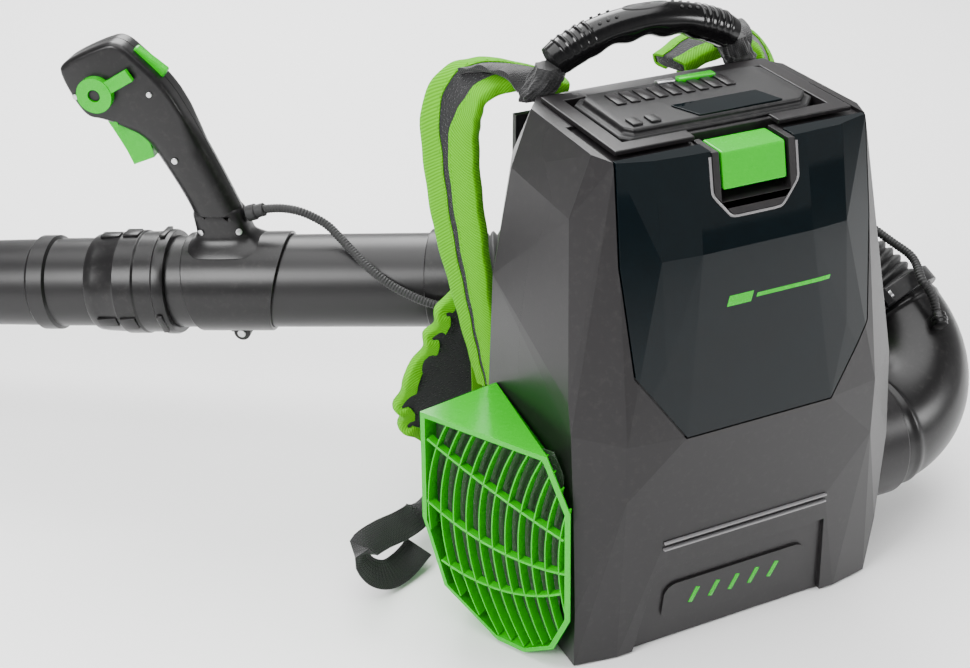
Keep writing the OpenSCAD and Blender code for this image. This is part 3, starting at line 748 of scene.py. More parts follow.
def small_box(centre, turn, size, bevel=0.0):
    """A block with small rounded edges"""
    bm = bmesh.new()
    bmesh.ops.create_cube(bm, size=1.0)
    bmesh.ops.scale(bm, vec=size, verts=bm.verts)
    if bevel:
        bmesh.ops.bevel(bm, geom=bm.edges[:], offset=bevel, segments=2, profile=0.5,
                        affect="EDGES", material=-1)
    bmesh.ops.transform(bm, matrix=Matrix.Translation(centre) @ turn.to_4x4(), verts=bm.verts)
    return bm


def small_disc(centre, turn, radius, height, count=32, bevel=0.0):
    """A short cylinder about the turn's Z, its foot at the centre"""
    bm = bmesh.new()
    bmesh.ops.create_cone(bm, segments=count, radius1=radius, radius2=radius, depth=height,
                          cap_ends=True)
    if bevel:
        rims = [e for e in bm.edges if len(e.link_faces) == 2
                and e.calc_face_angle(0) > 1]
        bmesh.ops.bevel(bm, geom=rims, offset=bevel, segments=3, profile=0.5,
                        affect="EDGES", material=-1)
    bmesh.ops.translate(bm, vec=(0, 0, height / 2), verts=bm.verts)
    bmesh.ops.transform(bm, matrix=Matrix.Translation(centre) @ turn.to_4x4(), verts=bm.verts)
    return bm


def surface_of(*meshes):
    """Some meshes as one surface that a ray can strike"""
    bm = bmesh.new()
    for mesh in meshes:
        bm.from_mesh(mesh)
    tree = BVHTree.FromBMesh(bm)
    bm.free()
    return tree


def dress(*nodes):
    """Inner CAD nodes keep their shapes and take their slot's finish"""
    for name in nodes:
        node = frame["nodes"][name]
        node.data.materials.clear()
        node.data.materials.append(FINISHES[SLOT_OF[name]].material)


def remeshed(piece, voxel):
    """An even mesh over a padded piece"""
    modifier = piece.modifiers.new("even mesh", "REMESH")
    modifier.mode = "VOXEL"
    modifier.voxel_size = voxel
    apply_modifiers(piece)


def apply_modifiers(piece):
    """Keeps what the modifiers have made"""
    graph = bpy.context.evaluated_depsgraph_get()
    mesh = bpy.data.meshes.new_from_object(piece.evaluated_get(graph))
    piece.modifiers.clear()
    old = piece.data
    piece.data = mesh
    bpy.data.meshes.remove(old)


def puffed(piece, held, cap):
    """Blows a padded piece up as cloth; held(point) is True where it is sewn down"""
    rest = [v.co.copy() for v in piece.data.vertices]
    group = piece.vertex_groups.new(name="sewn")
    group.add([i for i, point in enumerate(rest) if held(point)], 1.0, "REPLACE")
    cloth = piece.modifiers.new("filling", "CLOTH")
    cloth.settings.use_pressure = True
    cloth.settings.uniform_pressure_force = FABRIC_PRESSURE
    cloth.settings.vertex_group_mass = group.name
    cloth.settings.effector_weights.gravity = 0
    cloth.point_cache.frame_start = 1
    cloth.point_cache.frame_end = FABRIC_FRAMES
    scene = bpy.context.scene
    for number in range(1, FABRIC_FRAMES + 1):
        scene.frame_set(number)
    graph = bpy.context.evaluated_depsgraph_get()
    blown = [v.co.copy() for v in piece.evaluated_get(graph).data.vertices]
    piece.modifiers.clear()
    piece.vertex_groups.clear()
    for vertex, start, end in zip(piece.data.vertices, rest, blown):
        move = end - start
        if move.length > cap:
            move *= cap / move.length
        vertex.co = start + move
    scene.frame_set(1)


def finished_pad(piece, *nodes):
    """A filled pad gets its subdivision, and stands for its CAD nodes"""
    piece.data.shade_smooth()
    modifier = piece.modifiers.new("subdivision", "SUBSURF")
    modifier.levels = modifier.render_levels = 1
    if nodes:
        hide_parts(*nodes)


# ---------------------------------------------------------------- harness shapes
STRAP_LEFT = [
    ((-54, 120, 425), (-0.1, 0.99, 0), 44), ((-84, 125, 434), (-0.1, 0.99, 0), 52),
    ((-113, 130, 438), (-0.05, 1, 0.05), 58), ((-135, 135, 429), (-0.25, 0.96, 0), 60),
    ((-146, 142, 400), (-0.4, 0.91, 0), 60), ((-144, 144, 350), (-0.42, 0.9, 0), 58),
    ((-137, 142, 290), (-0.42, 0.9, 0), 56), ((-128, 137, 230), (-0.4, 0.91, 0), 46),
    ((-121, 131, 180), (-0.36, 0.93, 0), 38), ((-115, 124, 140), (-0.3, 0.95, 0), 34)]
STRAP_RIGHT = [
    ((54, 120, 425), (0.1, 0.99, 0), 44), ((84, 125, 434), (0.1, 0.99, 0), 52),
    ((116, 127, 437), (0.1, 1, 0.05), 56), ((142, 123, 426), (0.5, 0.87, 0), 58),
    ((151, 116, 396), (0.8, 0.6, 0), 58), ((149, 109, 350), (0.95, 0.3, 0), 58),
    ((143, 105, 290), (0.98, 0.2, 0), 56), ((137, 106, 230), (0.98, 0.2, 0), 50),
    ((128, 107, 180), (0.97, 0.25, 0), 44), ((118, 112, 140), (0.9, 0.44, 0), 34)]
WING_LEFT = [(-104, 60), (-104, 160), (-118, 222), (-134, 226), (-150, 204), (-172, 158),
             (-196, 120), (-192, 84), (-168, 54)]
WING_RIGHT = [(104, 48), (104, 140), (150, 140), (178, 116), (170, 66), (150, 48)]
TAIL = [(-172, 144, 82), (-177, 132, 60), (-187, 116, 42), (-202, 102, 33), (-224, 86, 38),
        (-250, 71, 46), (-270, 60, 48), (-277, 53, 42), (-268, 51, 25), (-252, 54, 14),
        (-233, 63, 12), (-212, 76, 16)]
GUARD_FACE = [(150, 208), (27, 211), (4, 165), (1, 58), (16, 21), (45, 3), (72, 3), (128, 37),
              (150, 102)]
GRIP = [(183, 60.3), (188, 80), (205, 133), (224, 184), (236, 212), (262, 243), (273, 254),
        (285, 256), (333, 238), (338, 227), (322, 183), (303, 180), (283, 168), (270, 160),
        (256, 131), (240, 92), (236, 76), (235, 60.3)]


LOUVRES, LOUVRE_PITCH, LOUVRE_ARC = 11, 13, 195
CROSS_BARS = [(-165.1, 860.1, 744.5, -78, -62), (55.5, 294, 196.3, -105, -55),
              (91.9, 197.4, 140.9, -125, -50)]
RIM = [(-38.5, 436), (-38.5, 408), (-22.5, 389.5), (22.5, 389.5), (38.5, 408), (38.5, 436)]
PAD_VOXEL = 5 * MM
BELT_WAVE = 0.8
FABRIC_PRESSURE = 4.0
FABRIC_FRAMES = 20


class Strap:
    """A flat padded strap: centre line, width direction and width along it"""

    def __init__(self, stations, per_station=10):
        centres = [Vector(s[0]) * MM for s in stations]
        sides = [Vector(s[1]) for s in stations]
        widths = [s[2] * MM for s in stations]
        count = (len(stations) - 1) * per_station
        places = [i / per_station for i in range(count + 1)]
        self.centres = [spline(centres, t) for t in places]
        self.widths = [spline(widths, t) for t in places]
        self.turns = []
        for i, t in enumerate(places):
            self.turns.append(turn_to(heading(self.centres, i), spline(sides, t)))

    def __len__(self):
        return len(self.centres)

    def put(self, i, x, y):
        """A point across and above the centre line at a station"""
        return self.centres[i] + self.turns[i] @ Vector((x, y, 0))


def pad_half_thickness(x, half_width, middle, edge):
    """Thick in the middle and pinched where the tape is sewn on"""
    return edge + (middle - edge) * (1 - min(1, abs(x) / half_width) ** 5)


def strap_pad(name, strap, slot, body, middle, edge, inset=0.0015, across=12):
    """The padded middle of a strap, on a regular mesh"""
    rings = []
    for i in range(len(strap)):
        half = strap.widths[i] / 2 - inset
        xs = [half * (2 * k / across - 1) for k in range(across + 1)]
        top = [strap.put(i, x, pad_half_thickness(x, half, middle, edge)) for x in xs]
        bottom = [strap.put(i, x, -pad_half_thickness(x, half, middle, edge)) for x in xs[::-1]]
        rings.append(top + bottom)
    return new_piece(name, loft(rings), slot, body, smooth=60)


def tape_section(half, reach, thick, height):
    """A folded tape round one edge of a pad, as points (across, above); height(x) is the
    pad's half thickness"""
    top = [(half - reach * (1 - k / 5), height(half - reach * (1 - k / 5)) + thick)
           for k in range(5)]
    rim = height(half) + thick
    turn = [(half - thick + thick * 1.6 * math.cos(a), rim * math.sin(a))
            for a in (math.pi / 2 - math.pi * k / 8 for k in range(9))]
    under = [(x, -y) for x, y in top[::-1]]
    inner = height(half - reach) - thick * 0.6
    back = min(inner, height(half)) - thick * 0.4
    return top + turn + under + [(half - reach, -inner), (half - thick * 2.2, -back),
                                 (half - thick * 2.2, back), (half - reach, inner)]


def tape_reach(strap, i, narrow):
    """The tape grows from its narrow top to nearly half of the strap's width"""
    share = min(1.0, max(0.0, (i / len(strap) - 0.28) / 0.25))
    share = share * share * (3 - 2 * share)
    return narrow * (1 - share) + 0.44 * strap.widths[i] * share


def strap_tape(name, strap, side, body, narrow, middle, edge, thick=0.0011):
    """Twill binding folded round one edge of a strap"""
    rings = []
    for i in range(len(strap)):
        half = strap.widths[i] / 2
        section = tape_section(half, tape_reach(strap, i, narrow), thick,
                               lambda x, h=half: pad_half_thickness(x, h, middle, edge))
        wave = 0.0005 * math.sin(i * 0.9 + side)
        rings.append([strap.put(i, side * (x + wave), y) for x, y in section])
    return new_piece(name, loft(rings), "webbing", body, smooth=50, finish="binding")


def stitches(name, places, body, length=0.0034, width=0.0009, finish="binding"):
    """Short threads at (point, direction, normal)"""
    parts = []
    for point, ahead, normal in places:
        turn = turn_to(ahead, normal)
        parts.append(small_box(point, turn, (width * 0.7, width, length), 0.00025))
    return joined(name, parts, "webbing", body, finish=finish)


def strap_stitches(name, strap, body, narrow, middle, edge):
    """Threads along the inner edge of a strap's bindings"""
    places = []
    done = 0.0
    for i in range(2, len(strap) - 2):
        ahead = strap.centres[i + 1] - strap.centres[i]
        done += ahead.length
        if done < 0.0055:
            continue
        done = 0.0
        for side in (-1, 1):
            for face in (-1, 1):
                half = strap.widths[i] / 2
                x = side * (half - tape_reach(strap, i, narrow) + 0.0022)
                rise = pad_half_thickness(x, half, middle, edge) + 0.0012
                places.append((strap.put(i, x, face * rise), ahead,
                               strap.turns[i] @ Vector((0, face, 0))))
    return stitches(name, places, body)


# ---------------------------------------------------------------- operators
class BLOWER_OT_housing(bpy.types.Operator):
    """Covers, gloss panel, battery opening, base and the badge between the feet"""

    bl_idname = "blower.housing"
    bl_label = "Housing"
    bl_options = {"REGISTER", "UNDO"}

    def execute(self, context):
        edge = sizes().edge_round
        for cover in ("front_cover", "rear_cover"):
            moulded(cover, edge, segments=3, flat=1.2, angle=7)
        moulded("gloss_panel", 0.0012, flat=0.9, angle=9)
        for node, width in (("top_bezel", 0.0014), ("button_bezel", 0.0012), ("base_tray", 0.001),
                            ("rubber_feet", 0.0008), ("badge_plate", 0.0008),
                            ("step_trim", 0.0005), ("cover_screws", 0.0004)):
            moulded(node, width)
        dress("battery_bay", "battery_connector", "controller_board", "board_capacitors")
        self.inlays()
        self.stripes()
        self.rims()
        return {"FINISHED"}

    def rims(self):
        """Polished line round the button's pocket, laid on the front faces"""
        front = surface_of(*(frame["nodes"][node].data
                             for node in ("front_cover", "gloss_panel", "button_bezel")))
        corners = [Vector(p) for p in RIM]
        flat = []
        for a, b in zip(corners, corners[1:]):
            flat += [a.lerp(b, k / 12) for k in range(12)]
        flat.append(corners[-1])
        points = []
        for p in flat:
            hit = front.ray_cast(Vector((p.x, -AHEAD, p.y)) * MM, BACKWARDS)[0]
            if hit:
                points.append(hit - BACKWARDS * 0.2 * MM)
        for _ in range(2):
            points = [points[0]] + [(a + b * 2 + c) / 4 for a, b, c in
                                    zip(points, points[1:], points[2:])] + [points[-1]]
        tube_along("button_rim", even_path(points, 0.002), lambda s: 0.0011, 12, "bright_trim",
                   "root")

    def inlays(self):
        """Plain slanted bars of accent colour let into the badge plate"""
        tilt = Matrix.Rotation(math.radians(6.1), 3, "X")
        foot = Vector((0, -112, 6)) * MM
        bars = []
        for x in range(-40, 41, 20):
            centre = foot + tilt @ (Vector((x, -1.4, 40)) * MM)
            turn = tilt @ Matrix.Rotation(math.radians(20), 3, "Y")
            bars.append(small_box(centre, turn, (0.0047, 0.0018, 0.0176), 0.0004))
        joined("badge_bars", bars, "green_plastic", "root")

    def stripes(self):
        """Two plain stripes printed on the gloss panel"""
        panel = surface_of(frame["nodes"]["gloss_panel"].data)
        parts = []
        for left, right, low, high in ((-30, -8, 321, 329), (-3, 66, 323.5, 326.5)):
            sheet = bmesh.new()
            bmesh.ops.create_grid(sheet, x_segments=24, y_segments=3, size=0.5)
            for vert in sheet.verts:
                up = low + (vert.co.y + 0.5) * (high - low)
                along = left + (vert.co.x + 0.5) * (right - left) + (up - low) * 0.35
                start = Vector((along, -AHEAD, up)) * MM
                vert.co = panel.ray_cast(start, BACKWARDS)[0] - BACKWARDS * 0.12 * MM
            bmesh.ops.solidify(sheet, geom=sheet.faces[:], thickness=0.2 * MM)
            parts.append(sheet)
        joined("panel_stripes", parts, "green_plastic", "root")


class BLOWER_OT_guard(bpy.types.Operator):
    """Intake guard on the left side, with its curved louvres"""

    bl_idname = "blower.guard"
    bl_label = "Intake guard"
    bl_options = {"REGISTER", "UNDO"}

    def execute(self, context):
        moulded("intake_guard", 0.0020, segments=4, angle=14)

        def on_face(x, up, depth):
            return GUARD_CORNER + GUARD_TURN @ (Vector((x, -depth, up)) * MM)

        outline = anticlockwise([Vector(p) for p in GUARD_FACE])
        blades = []
        for i in range(LOUVRES):
            middle = Vector((14 + i * LOUVRE_PITCH - LOUVRE_ARC, 118))
            arc = [middle + LOUVRE_ARC * Vector((math.cos(a), math.sin(a)))
                   for a in (math.radians(-40 + k) for k in range(81))]
            blades.append((arc, 1.5, 10.0))
        for x, up, radius, first, last in CROSS_BARS:
            arc = [Vector((x + radius * math.cos(a), up + radius * math.sin(a)))
                   for a in (math.radians(first + (last - first) * k / 60) for k in range(61))]
            blades.append((arc, 2.4, 8.0))
        parts = []
        for arc, thick, depth in blades:
            inside = [p for p in arc if inside_by(p, outline) > 3.6]
            if len(inside) < 4:
                continue
            rings = []
            for k, p in enumerate(inside):
                ahead = heading(inside, k)
                side = Vector((-ahead.y, ahead.x)) * thick / 2
                ring = [(p + side * 0.6, 0.5), (p + side * 0.95, 0.9), (p + side, 1.5),
                        (p + side * 0.8, depth), (p - side * 0.8, depth), (p - side, 1.5),
                        (p - side * 0.95, 0.9), (p - side * 0.6, 0.5)]
                room = 0.84 * max(0.0, 10 - p.x)
                rings.append([on_face(q.x, q.y, min(d, max(2.0, depth - room))) for q, d in ring])
            parts.append(loft(rings))
        louvres = joined("louvre_blades", parts, "green_plastic", "root", smooth=50)
        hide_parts("intake_louvres")
        screen = closed_even([p for p in inset_outline(closed_even(outline, 3), 5)], 3)
        rings = [[on_face(max(p.x, 14 + depth * 0.4), p.y, depth) for p in screen]
                 for depth in (15.0, 16.0)]
        new_piece("intake_screen", loft(rings), "dark_plastic", "root", finish="screen")
        return {"FINISHED"}


class BLOWER_OT_fan(bpy.types.Operator):
    """Fan, motor and duct behind the guard"""

    bl_idname = "blower.fan"
    bl_label = "Fan"
    bl_options = {"REGISTER", "UNDO"}

    def execute(self, context):
        dress("motor_mount", "motor_can", "motor_bearings", "rotor_shaft", "button_spring",
              "flange_seal", "isolation_mounts", "battery_contacts", "switch_module")
        moulded("fan_duct", 0.0008)
        moulded("impeller", 0.0006)
        return {"FINISHED"}


class BLOWER_OT_battery(bpy.types.Operator):
    """Battery pack and the button that lets it go"""

    bl_idname = "blower.battery"
    bl_label = "Battery"
    bl_options = {"REGISTER", "UNDO"}

    def execute(self, context):
        moulded("battery_case", 0.0015)
        moulded("battery_cap", 0.0022, segments=3, angle=20)
        moulded("cap_label", 0.0005)
        moulded("release_button", 0.0018, segments=4, flat=0.8, angle=14)
        self.on_cap("cap_ribs", "body_plastic", 0.0007, (0.0085, 0.022, 0.0018),
                    [(-62 + k * 12.5, 13, 0.7) for k in range(9)])
        self.on_cap("cap_clips", "dark_plastic", 0.001, (0.009, 0.013, 0.0026),
                    [(-72, -33, 0.6), (-56, -33, 0.6)])
        self.on_cap("cap_tab", "green_plastic", 0.0013, (0.034, 0.008, 0.0044), [(20, 27.5, 1.2)])
        self.on_cap("cap_clip", "steel", 0.0008, (0.016, 0.006, 0.0034), [(-8, 28.5, 0.9)])
        return {"FINISHED"}

    def on_cap(self, name, slot, bevel, size, places):
        """Small blocks of one size on the cap's top"""
        flat = Matrix.Identity(3)
        joined(name, [small_box(Vector((x, y, CAP_TOP + up)) * MM, flat, size, bevel)
                      for x, y, up in places], slot, "battery")


class BLOWER_OT_elbow(bpy.types.Operator):
    """Outlet flange, swivelling elbow and the clamp that holds the hose"""

    bl_idname = "blower.elbow"
    bl_label = "Elbow"
    bl_options = {"REGISTER", "UNDO"}

    def execute(self, context):
        moulded("outlet_flange", 0.0015)
        moulded("elbow_collar", 0.0018)
        moulded("hose_clamp", 0.0012)
        moulded("clamp_screw", 0.0006)
        rings = []
        steps = 84
        for i in range(steps + 1):
            angle = ELBOW_TURN * i / steps
            course = elbow_heading(angle)
            side = course.cross(BEND_SIDE)
            radius = ELBOW_RADIUS - ELBOW_TAPER * (i / steps) ** 1.4
            radius += 1.6 * math.exp(-((angle - 7) / 1.6) ** 2)
            radius += 1.2 * math.exp(-((angle - 101) / 1.4) ** 2)
            turn = Matrix((side, BEND_SIDE, course)).transposed()
            rings.append(placed(elbow_point(angle), turn, circle_points(radius * MM, 96)))
        elbow = new_piece("elbow_shell", loft(rings), "tube_plastic", "elbow", smooth=45)
        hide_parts("elbow")
        port = elbow_point(PORT_TURN) + BEND_SIDE * PORT_REACH
        along = turn_to(elbow_heading(PORT_TURN), BEND_SIDE)
        joined("cable_port", [
            small_disc(port, along, 0.0070, 0.0120, bevel=0.001),
            small_disc(port + along.col[2] * 0.004, along, 0.0078, 0.004, bevel=0.001),
            small_box(port - BEND_SIDE * 0.005 + along.col[2] * 0.006, along,
                      (0.010, 0.014, 0.0118), 0.001)],
            "tube_plastic", "elbow")
        return {"FINISHED"}


class BLOWER_OT_hose(bpy.types.Operator):
    """Corrugated hose between the elbow and the wand, and its cuff"""

    bl_idname = "blower.hose"
    bl_label = "Hose"
    bl_options = {"REGISTER", "UNDO"}

    def execute(self, context):
        moulded("hose_cuff", 0.0015)
        fine = [hose_point(t / 200) for t in range(201)]
        fine[0] = HOSE_FROM - elbow_heading(ELBOW_TURN) * 0.0003
        length = path_length(fine)
        pitch, depth = sizes().rib_pitch, sizes().rib_depth
        ribs = round(length / pitch)
        points = even_path(fine, length / (ribs * 10))

        def radius(done):
            wave = 0.5 + 0.5 * math.cos(math.tau * done * ribs / length)
            return HOSE_RADIUS - depth * (1 - wave ** 0.6)

        hose = tube_along("corrugated_hose", points, radius, 72, "soft_rubber", None, caps=False,
                          smooth=80)
        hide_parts("hose")
        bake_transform(hose)
        return {"FINISHED"}


class BLOWER_OT_wand(bpy.types.Operator):
    """Blow tube, handle saddle, locking collar and nozzle"""

    bl_idname = "blower.wand"
    bl_label = "Wand"
    bl_options = {"REGISTER", "UNDO"}

    def execute(self, context):
        bore = TUBE_RADIUS - 2.5
        tube = revolved("blow_tube", [(-7.7, bore), (-7.7, TUBE_RADIUS), (339, TUBE_RADIUS),
                                      (339, bore)],
                        "tube_plastic", "wand", finish="blown_tube")
        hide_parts("handle_tube")
        self.saddle()
        self.collar()
        nozzle = revolved("nozzle_tube", [
            (346, 42), (346, 44.7), (392, 44.7), (394, 48), (410, 48), (414, 44), (560, 42.4),
            (684, 41), (688, 43), (698, 43), (698, 38), (658, 38), (540, 39.5), (406, 41)],
            "tube_plastic", "nozzle", finish="blown_tube", width=0.0012)
        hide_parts("nozzle")
        return {"FINISHED"}

    def saddle(self):
        """Clamp shell round the tube, with oblique ends and a screw lug beneath"""
        shell = revolved("saddle_shell", [(158, 46.2), (158, 49.6), (246, 49.6), (246, 46.2)],
                         "tube_plastic", "wand", width=0.0013,
                         lean=lambda s, up: -0.24 * up if s < 200 else 0.10 * up)
        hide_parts("handle_saddle")
        rings = []
        for up, half_long, half_wide in (
                (86, 19, 12), (82, 23.2, 15.6), (78, 24.9, 17.2), (72, 25.6, 17.6),
                (66, 26.3, 17.8), (60, 27, 18), (56, 28.2, 18.2), (53, 30.5, 19.4),
                (50, 34, 21.5), (47, 38.5, 24.5), (44, 43, 28), (40, 46, 31)):
            middle = 209 + 0.17 * max(0, up - 60)
            rings.append([on_wand(middle + half_long * x, half_wide * y, up)
                          for x, y in soft_square(40)])
        neck = loft(rings)
        lug = small_disc(on_wand(209, -9, -55), WAND_TURN @ Matrix.Rotation(-math.pi / 2, 3, "X"),
                         0.0085, 0.018, 40, 0.0012)
        foot = small_box(on_wand(209, 0, -50), WAND_TURN, (0.024, 0.0165, 0.009), 0.002)
        joined("saddle_neck", [neck, lug, foot], "tube_plastic", "wand")

    def collar(self):
        """Stepped locking collar and the lugs on it"""
        collar = revolved("collar_shell", [
            (266, 46.2), (266, 51.5), (269, 52.8), (277, 52.8), (279, 50.8), (297, 50.8),
            (299, 52.2), (318, 52.2), (321, 50.6), (340, 49.6), (348, 48.6), (350, 47.5),
            (350, 45.2), (346, 45.2)], "tube_plastic", "wand", width=0.0009)
        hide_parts("lock_collar")
        parts = []
        for angle in (-25, 95, 215):
            a = math.radians(angle)
            out = Vector((0, math.cos(a), math.sin(a)))
            turn = WAND_TURN @ turn_to(out, (1, 0, 0))
            for s, radius, size in ((308, 52.6, (0.016, 0.017, 0.003)),
                                    (331, 50.6, (0.020, 0.012, 0.003)),
                                    (273, 53.2, (0.006, 0.026, 0.003))):
                spot = on_wand(s, out.y * radius, out.z * radius)
                parts.append(small_box(spot, turn, size, 0.0009))
        joined("collar_lugs", parts, "tube_plastic", "wand")


class BLOWER_OT_grip(bpy.types.Operator):
    """Control handle with its trigger, cruise lever and top button"""

    bl_idname = "blower.grip"
    bl_label = "Control handle"
    bl_options = {"REGISTER", "UNDO"}

    def execute(self, context):
        outline = anticlockwise([Vector(p) for p in GRIP])
        outline = closed_even(cut_corners(outline, 3), 2.5)
        rings = []
        for y in (-17, -16.7, -16, -14.8, -13, -10.5, -7.5, -4, -0.5, -0.3, 0.3, 0.5, 4, 7.5, 10.5,
                  13, 14.8, 16, 16.7, 17):
            ring = []
            for p, inner in zip(outline, inset_outline(outline, 1.0)):
                head = min(1.0, max(0.0, (p.y - 150) / 35))
                deep, start = 17 - 12 * head, 0.5 + 10.5 * head
                share = max(0.0, (abs(y) - start) / (17 - start))
                depth = deep * (1 - math.sqrt(max(0.0, 1 - share * share)))
                depth += 0.6 if abs(y) < 0.4 else 0.0
                q = p + (inner - p) * depth
                ring.append(on_wand(q.x, y, q.y))
            rings.append(ring)
        grip = new_piece("grip_shells", loft(rings), "tube_plastic", "wand", smooth=40)
        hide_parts("grip_shell_left", "grip_shell_right")
        self.screws(grip)
        moulded("trigger", 0.0022, segments=4, angle=20)
        moulded("cruise_lever", 0.0014, segments=3)
        bolt = small_disc(on_wand(303, 21.2, 208), WAND_TURN @ Matrix.Rotation(
            -math.pi / 2, 3, "X"), 0.0056, 0.0022, 36, 0.0006)
        joined("lever_bolt", [bolt], "dark_plastic", "cruise_lever")
        moulded("turbo_button", 0.0022, segments=4)
        moulded("cable_gland", 0.0012)
        return {"FINISHED"}

    def screws(self, grip):
        """Screw heads sunk into the grip's rounded side, its foot and the clamp's lug"""
        surface = surface_of(grip.data, bpy.data.objects["saddle_neck"].data)
        inward = WAND_TURN @ Vector((0, -1, 0))
        heads = []
        for s, up, radius in ((240, 138, 3.2), (228, 62, 3.2), (190, 62, 3.2), (252, 205, 2.8),
                              (325, 205, 2.8), (209, -55, 4.2)):
            hit, normal = surface.ray_cast(on_wand(s, 60, up), inward)[:2]
            if hit:
                heads.append(small_disc(hit + normal * 0.2 * MM, turn_to(normal), radius * MM,
                                        1.6 * MM, 28, 0.0006))
        screws = joined("grip_screw_heads", heads, "steel", "wand")
        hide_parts("grip_screws")


class BLOWER_OT_cable(bpy.types.Operator):
    """Control cable in its ribbed conduit, from the grip to the elbow"""

    bl_idname = "blower.cable"
    bl_label = "Control cable"
    bl_options = {"REGISTER", "UNDO"}

    def execute(self, context):
        pitch = sizes().conduit_pitch
        points = smooth_path([Vector(p) for p in CABLE], pitch / 4)
        length = path_length(points)

        def radius(done):
            return CONDUIT_RADIUS - CONDUIT_GROOVE * (0.5 + 0.5 * math.cos(math.tau * done / pitch))

        conduit = tube_along("cable_conduit", points, radius, 14, "soft_rubber", None, smooth=80)
        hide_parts("control_cable")
        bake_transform(conduit)
        points[::3] + [points[-1]]
        return {"FINISHED"}


class BLOWER_OT_carry_handle(bpy.types.Operator):
    """Moulded carrying grip and the webbing that wraps its ends"""

    bl_idname = "blower.carry_handle"
    bl_label = "Carry handle"
    bl_options = {"REGISTER", "UNDO"}

    def execute(self, context):
        rings = []
        steps = 232
        for i in range(steps + 1):
            share = i / steps
            angle = CARRY_START - CARRY_SPAN * share
            out, ahead = spoke(angle), spoke(angle - 90)
            across = ahead.cross(out)
            middle = abs(share - 0.5) * 2
            ribs = 0.0013 * max(0, math.sin(share * math.tau * 26)) if 0.56 < middle < 0.9 else 0
            ring = []
            for k in range(40):
                a = math.tau * k / 40
                radius = CARRY_RADIUS * MM
                if math.sin(a) > 0:
                    radius += ribs * math.sin(a)
                else:
                    grooves = 0.5 + 0.5 * math.cos(share * math.tau * 5 + math.pi)
                    fade = max(0, 1 - (middle / 0.72) ** 6)
                    radius -= 0.0032 * grooves * fade * -math.sin(a)
                radius *= 0.90 + 0.10 * min(1, (1 - middle) * 9 + 0.2)
                ring.append(CARRY_CENTRE + out * (CARRY_ARC * MM + radius * math.sin(a))
                            + across * radius * math.cos(a) * 1.02)
            rings.append(ring)
        grip = new_piece("carry_grip_moulding", loft(rings), "soft_rubber", "carry_handle",
                         smooth=60, finish="grip_gloss")
        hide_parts("carry_grip")
        self.crown()
        self.wraps()
        return {"FINISHED"}

    def crown(self):
        """Oval medallion on the grip's crown and rows of dots beside it"""
        rings = []
        for scale, lift in ((1.0, -0.6), (0.98, 0.5), (0.94, 0.8), (0.86, 0.7), (0.82, 0.2),
                            (0.4, 0.2)):
            ring = []
            for x, y in circle_points(1, 48):
                side = 7.6 * y * scale
                reach = (CARRY_ARC + math.sqrt(CARRY_RADIUS ** 2 - side ** 2) + lift) * MM
                ring.append(CARRY_CENTRE + spoke(90 + 6.6 * x * scale) * reach
                            + Vector((0, side * MM, 0)))
            rings.append(ring)
        joined("carry_grip_medallion", [loft(rings)], "soft_rubber", "carry_handle")
        parts = []
        for turn in (-19, -16.6, -14.2, -11.8, -9.4, 9.4, 11.8, 14.2, 16.6, 19):
            for row in (-1, 1):
                out = spoke(90 + turn)
                lean = out * 0.86 + Vector((0, row * 0.5, 0))
                parts.append(small_disc(CARRY_CENTRE + out * CARRY_ARC * MM + lean * 0.0148,
                                        turn_to(lean), 0.0015, 0.0012, 14, 0.0004))
        joined("carry_grip_dots", parts, "soft_rubber", "carry_handle")

    def wraps(self):
        """Bunched webbing that holds the grip's ends"""
        for side, word in ((-1, "left"), (1, "right")):
            rings = []
            for k in range(25):
                t = k / 24
                z, x, half_x, half_y = (spline(list(row), t * 4) for row in zip(
                    (433, 98, 14.5, 5.5), (438, 97, 15.5, 8), (444, 93, 14.5, 11.5),
                    (452, 88, 13.5, 13), (460, 85, 12, 12)))
                ring = []
                for n, (across, along) in enumerate(soft_square(72, 0.8)):
                    a = math.tau * n / 72
                    fold = 1 + 0.055 * math.sin(7 * a + t * 5 + side) + 0.03 * math.sin(
                        13 * a - t * 9) - 0.05 * (math.sin(t * math.pi * 3.0 + a) ** 8)
                    ring.append(Vector((side * x + across * half_x * fold,
                                        78 + along * half_y * fold, z)) * MM)
                rings.append(ring)
            wrap = new_piece("carry_wrap_" + word, loft(rings), "webbing", "carry_handle",
                             smooth=50)
            if side < 0:
                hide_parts("carry_webbing")


